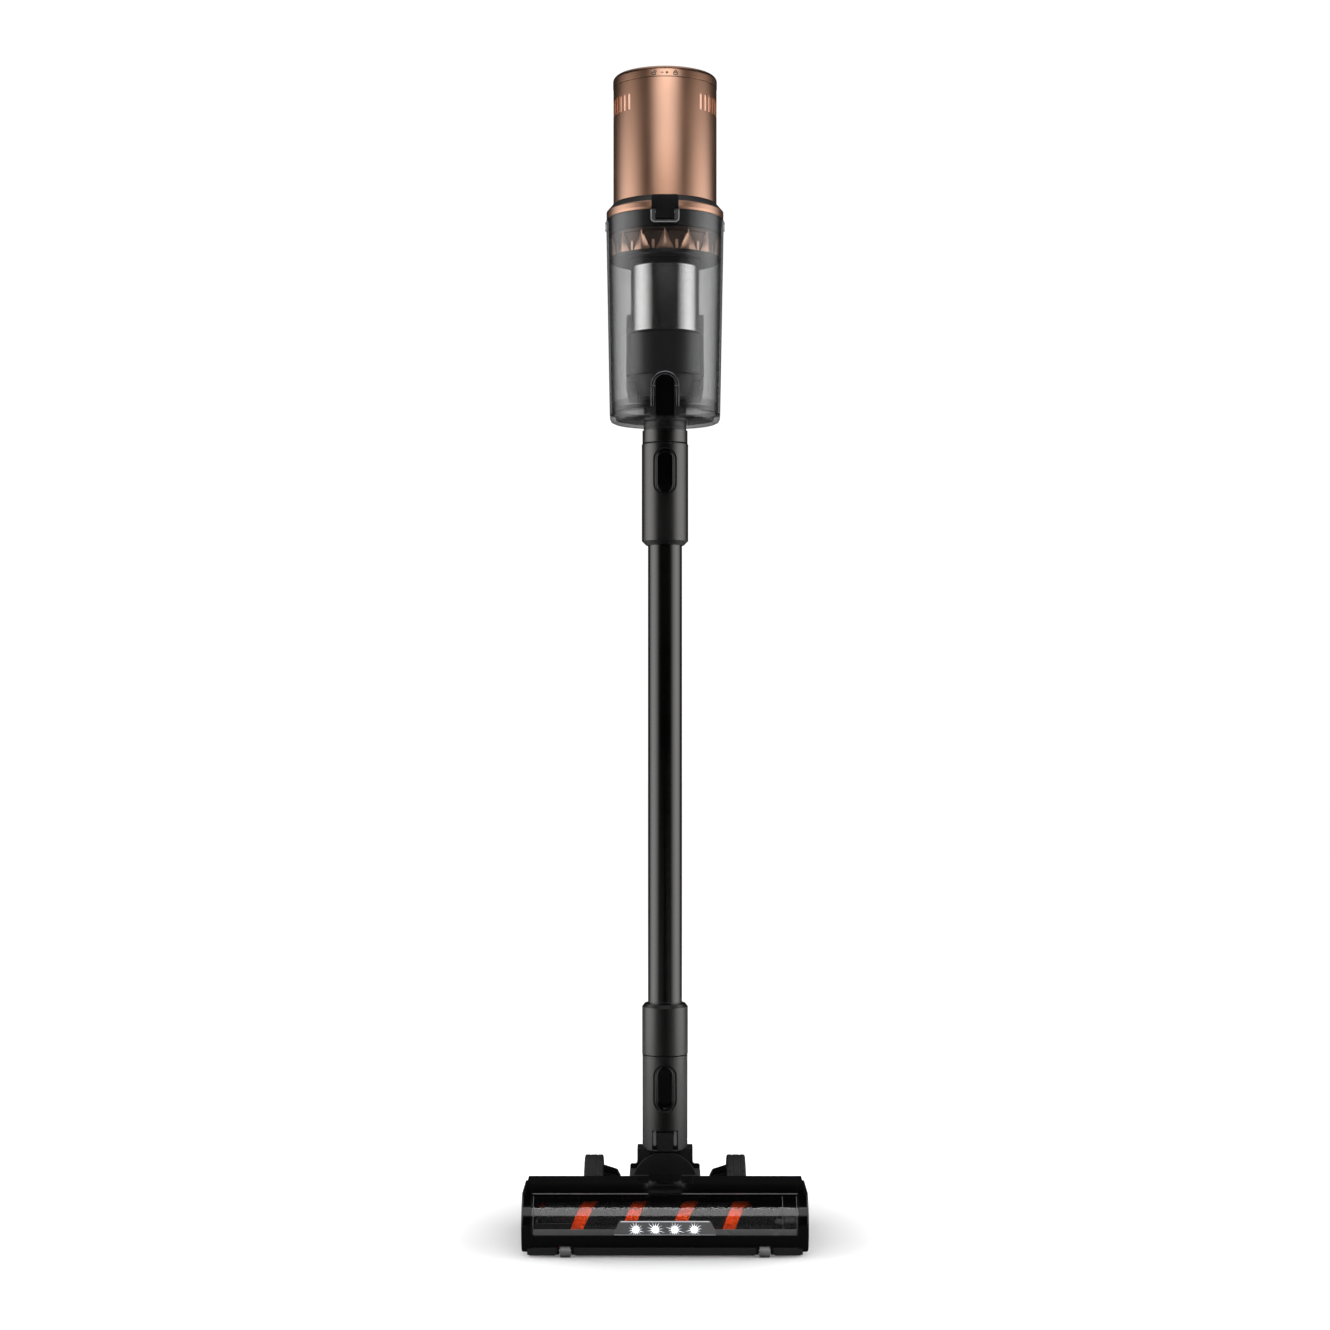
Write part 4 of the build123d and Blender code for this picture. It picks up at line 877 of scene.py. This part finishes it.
def build_latch_outlines():
    """Moulded edges, coloured pale as painted highlights: the frame of the cup latch and the arch round the
    lid lever.
    """
    half, foot, top, face_y = 12.3, 920.9, 931.4, -132.45
    outline = eased([(-half, top), (-half, foot), (half, foot), (half, top)], 4, 6, closed=False)
    points = [(x, face_y, z) for x, z in outline]
    piece("latch_frame", Shape().bead(points, 0.32), "pale_grey_and_painted_highlight", "cup")
    arch_foot = CUP_FOOT + 1.5
    for name, half, top, size in (("lever_arch", 12.3, 789.3, 0.36), ("lever_arch_inner", 10.2, 787.0, 0.2)):
        arch = [(-half, arch_foot)]
        arch += [(-half * cos(pi * i / 20), top - half + half * sin(pi * i / 20)) for i in range(21)]
        arch.append((half, arch_foot))
        points = []
        for x, z in arch:
            radius = CUP_FOOT_R + (CUP_RIM_R - CUP_FOOT_R) * (z - CUP_FOOT) / (CUP_RIM - CUP_FOOT)
            points.append((x, AXIS_Y - sqrt(radius**2 - x**2) - 0.1, z))
        piece(name, Shape().bead(points, size), "pale_grey_and_painted_highlight", "cup")


def build_neck_cheeks():
    """Two bright cheeks in the notch at the foot of the neck."""
    cheek_x, cheek_y, cheek_z = 9.7, -14.7, 88.4
    width, length, thick = 3.6, 14.4, 1.6
    shape = Shape()
    for side in (-1, 1):
        shape.plate((cheek_x * side, cheek_y, cheek_z), (1, 0, 0), (0, 0, 1), width, length, thick, 0.6)
    piece("neck_cheeks", shape, "pale_grey_and_painted_highlight", "neck")


def build_floor_lip():
    """Soft lip under the front of the head, open where the front rollers are."""
    low, high = span("front_bumper")
    left, right = span("front_roller_left"), span("front_roller_right")
    past, gap, taper = 4, 2.5, 3
    shape = Shape()
    for start, stop in ((low.x - past, left[0].x - gap), (left[1].x + gap, right[0].x - gap),
                        (right[1].x + gap, high.x + past)):
        rings = []
        for x, share in ((start, 0.6), (start + taper, 1), (stop - taper, 1), (stop, 0.6)):
            foot = low.z + 1.2 - 2.4 * share
            rings.append([(x, low.y + 5.0, low.z + 6), (x, low.y + 5.3, foot + 0.5), (x, low.y + 5.7, foot),
                          (x, low.y + 6.5, foot), (x, low.y + 6.9, low.z + 6)])
        shape.loft(rings, ends=True)
    piece("floor_lip", shape, "rubber_black", "floor_head")


def build_duct_rings():
    """Fine rolled rings where the duct, collars and neck meet."""
    top = span("wand_upper_collar")[1].z
    bottom = span("wand_lower_collar")[0].z
    for name, radius, z, body in (
        ("collar_ring", COLLAR_R, top - 1.6, "wand"),
        ("neck_ring", NECK_R, span("neck_tube")[1].z - 1.6, "neck"),
        ("wand_ring", span("wand_tube")[1].x, bottom + 92.4, "wand"),
    ):
        ring = eased([(radius - 0.6, z - 0.9), (radius + 0.06, z - 0.9), (radius + 0.06, z + 0.5),
                      (radius - 0.6, z + 0.5)], 0.25)
        piece(name, Shape().lathe(ring, (0, 0)), "graphite", body)


build_screen()
build_crown()
build_vent_liner()
build_cap_marks()
build_filters()
build_pill("wand_release_pill", "wand_button", COLLAR_R, "wand_button")
build_pill("neck_release_pill", "neck_button", NECK_R, "neck_button")
build_button_lip("wand_button_lip", "wand_button", COLLAR_R, "wand")
build_button_lip("neck_button_lip", "neck_button", NECK_R, "neck")
build_bristles("tufts_orange", "bristles_orange", ORANGE_FRONT, ORANGE_WIDTH, "bristle_orange",
               1.0, 11)
build_bristles("tufts_dark", "bristles_black", ORANGE_FRONT + ROW_LEAD / 2, DARK_WIDTH, "bristle_dark",
               1.35, 12)
build_lamps()
build_head_beads()
build_wheel(-1, "left")
build_wheel(1, "right")
build_grip()
build_duct_rings()
build_latch_outlines()
build_neck_cheeks()
build_floor_lip()


# ---------------------------------------------------------------- floor, light and camera
def flat_mesh(name, width, height):
    """One level face about the origin."""
    mesh = bpy.data.meshes.new(name)
    x, y = width / 2, height / 2
    mesh.from_pydata([(-x, -y, 0), (x, -y, 0), (x, y, 0), (-x, y, 0)], [], [(0, 1, 2, 3)])
    return mesh


def emitter(name, where, target, width, height, strength, fade, fade_up, only=None):
    """A softbox: a panel that glows less towards its edges, not seen by the camera.

    fade and fade_up are the shares of its width and height that the falling-off takes. With only, it
    lights that group and nothing else.
    """
    mesh = flat_mesh(name, width, height)
    panel = bpy.data.objects.new(name, mesh)
    bpy.context.scene.collection.objects.link(panel)
    panel.location = where
    panel.rotation_euler = (Vector(target) - Vector(where)).to_track_quat("Z", "Y").to_euler()
    panel.visible_camera = False
    panel.visible_shadow = False
    material = bpy.data.materials.new(name)
    material.use_nodes = True
    nodes, links = material.node_tree.nodes, material.node_tree.links
    nodes.clear()
    place = nodes.new("ShaderNodeTexCoord")
    split = nodes.new("ShaderNodeSeparateXYZ")
    links.new(place.outputs["Generated"], split.inputs["Vector"])
    edges = []
    for axis in ("X", "Y"):
        centred = nodes.new("ShaderNodeMath")
        centred.operation = "PINGPONG"
        centred.inputs[1].default_value = 0.5
        links.new(split.outputs[axis], centred.inputs[0])
        ramp = nodes.new("ShaderNodeMapRange")
        ramp.interpolation_type = "SMOOTHSTEP"
        ramp.inputs["From Max"].default_value = fade if axis == "X" else fade_up
        links.new(centred.outputs[0], ramp.inputs["Value"])
        edges.append(ramp.outputs["Result"])
    product = nodes.new("ShaderNodeMath")
    product.operation = "MULTIPLY"
    links.new(edges[0], product.inputs[0])
    links.new(edges[1], product.inputs[1])
    scaled = nodes.new("ShaderNodeMath")
    scaled.operation = "MULTIPLY"
    scaled.inputs[1].default_value = strength
    links.new(product.outputs[0], scaled.inputs[0])
    glow = nodes.new("ShaderNodeEmission")
    links.new(scaled.outputs[0], glow.inputs["Strength"])
    out = nodes.new("ShaderNodeOutputMaterial")
    links.new(glow.outputs[0], out.inputs["Surface"])
    mesh.materials.append(material)
    if only:
        panel.light_linking.receiver_collection = only
    panel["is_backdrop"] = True


def build_floor():
    """Wide floor: white to the camera and brighter with distance, so darker near the object as a painted
    shadow; dark grey to reflections.
    """
    size = 24.0
    mesh = flat_mesh("floor", size, size)
    floor = bpy.data.objects.new("floor", mesh)
    bpy.context.scene.collection.objects.link(floor)
    finish = Finish("floor_white", (0.82, 0.82, 0.82), 0.6)
    finish.mottled(finish.ranged(finish.noise(3, 3), 0, 1), 0.99, 1.01)
    distance = finish.nodes.new("ShaderNodeVectorMath")
    distance.operation = "LENGTH"
    finish.links.new(finish.place, distance.inputs[0])
    # emission that falls towards the object: a painted shadow on the floor round its foot
    glow = finish.ranged(distance.outputs["Value"], 0.14, 1.0, 0.14, 0.32)
    finish.set("Emission Color", (1, 1, 1, 1))
    finish.links.new(glow, finish.shader.inputs["Emission Strength"])
    path = finish.nodes.new("ShaderNodeLightPath")
    split = finish.nodes.new("ShaderNodeSeparateXYZ")
    finish.links.new(finish.place, split.inputs["Vector"])
    sideways = finish.nodes.new("ShaderNodeMath")
    sideways.operation = "ABSOLUTE"
    finish.links.new(split.outputs["X"], sideways.inputs[0])
    dark = finish.nodes.new("ShaderNodeBsdfDiffuse")
    finish.links.new(finish.ranged(sideways.outputs[0], 0.10, 0.85, 0.22, 0.6), dark.inputs["Color"])
    mix = finish.nodes.new("ShaderNodeMixShader")
    finish.links.new(path.outputs["Is Camera Ray"], mix.inputs["Fac"])
    finish.links.new(dark.outputs[0], mix.inputs[1])
    finish.links.new(finish.shader.outputs[0], mix.inputs[2])
    finish.links.new(mix.outputs[0], finish.nodes["Material Output"].inputs["Surface"])
    mesh.materials.append(finish.material)
    floor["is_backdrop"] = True
    return floor


def build_world():
    """White backdrop for the camera, and a dark studio for what the object reflects."""
    world = bpy.data.worlds.new("studio")
    bpy.context.scene.world = world
    world.use_nodes = True
    nodes, links = world.node_tree.nodes, world.node_tree.links
    nodes.clear()
    path = nodes.new("ShaderNodeLightPath")
    dark, white = nodes.new("ShaderNodeBackground"), nodes.new("ShaderNodeBackground")
    dark.inputs["Color"].default_value = (1, 1, 1, 1)
    dark.inputs["Strength"].default_value = 0.014
    white.inputs["Color"].default_value = (1, 1, 1, 1)
    white.inputs["Strength"].default_value = 1.05
    mix = nodes.new("ShaderNodeMixShader")
    links.new(path.outputs["Is Camera Ray"], mix.inputs["Fac"])
    links.new(dark.outputs[0], mix.inputs[1])
    links.new(white.outputs[0], mix.inputs[2])
    out = nodes.new("ShaderNodeOutputWorld")
    links.new(mix.outputs[0], out.inputs["Surface"])


def light_groups(floor):
    """Groups for lights that serve only part of the scene."""
    groups = {word: bpy.data.collections.new(word + "_lit") for word in ("head", "roll", "bronze", "rest")}
    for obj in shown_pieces():
        bodies = set(body_of(obj) or [])
        low = bodies.intersection(("floor_head", "brush_roll", "front_roller_left", "front_roller_right"))
        groups["head" if low else "rest"].objects.link(obj)
        if obj.name.startswith("tufts_orange"):
            groups["roll"].objects.link(obj)
        if obj.data.materials and obj.data.materials[0].name == "bronze":
            groups["bronze"].objects.link(obj)
    groups["head"].objects.link(floor)
    groups["rest"].objects.link(floor)
    return groups


def build_lights(groups):
    """Softboxes at both sides for everything, then one for each group of pieces."""
    for word, side in (("left", -1), ("right", 1)):
        emitter("side_box_" + word, (0.95 * side, -0.12, 0.55), (0, -0.02, 0.55), 2.05, 1.6, 3.3, 0.5, 0.17)
    emitter("front_top_box", (0, -0.75, 0.578), (0, -0.115, 0.578), 1.0, 0.46, 2.0, 0.1, 0.1, groups["head"])
    emitter("roll_box", (0, -0.59, 0.91), (0, -0.09, 0.02), 0.5, 0.3, 44, 0.2, 0.2, groups["roll"])
    emitter("high_strip", (0.07, -1.5, 1.6), (0, -0.08, 1.6), 2.4, 0.72, 5.8, 0.5, 0.2, groups["bronze"])
    emitter("overhead", (0, 0.2, 2.3), (0, 0, 0.55), 2.2, 2.2, 1.2, 0.4, 0.2, groups["rest"])


def build_camera():
    """Level camera in front of the object, low enough to look up at the cap and down at the head."""
    data = bpy.data.cameras.new("camera")
    data.lens, data.sensor_width = 62.26, 36
    data.shift_y = 0.0263158
    camera = bpy.data.objects.new("camera", data)
    bpy.context.scene.collection.objects.link(camera)
    camera.location = (0, -2.165, 0.498)
    camera.rotation_euler = (radians(90), 0, 0)
    bpy.context.scene.camera = camera


build_world()
build_lights(light_groups(build_floor()))
build_camera()
bpy.context.scene.view_settings.view_transform = "Standard"
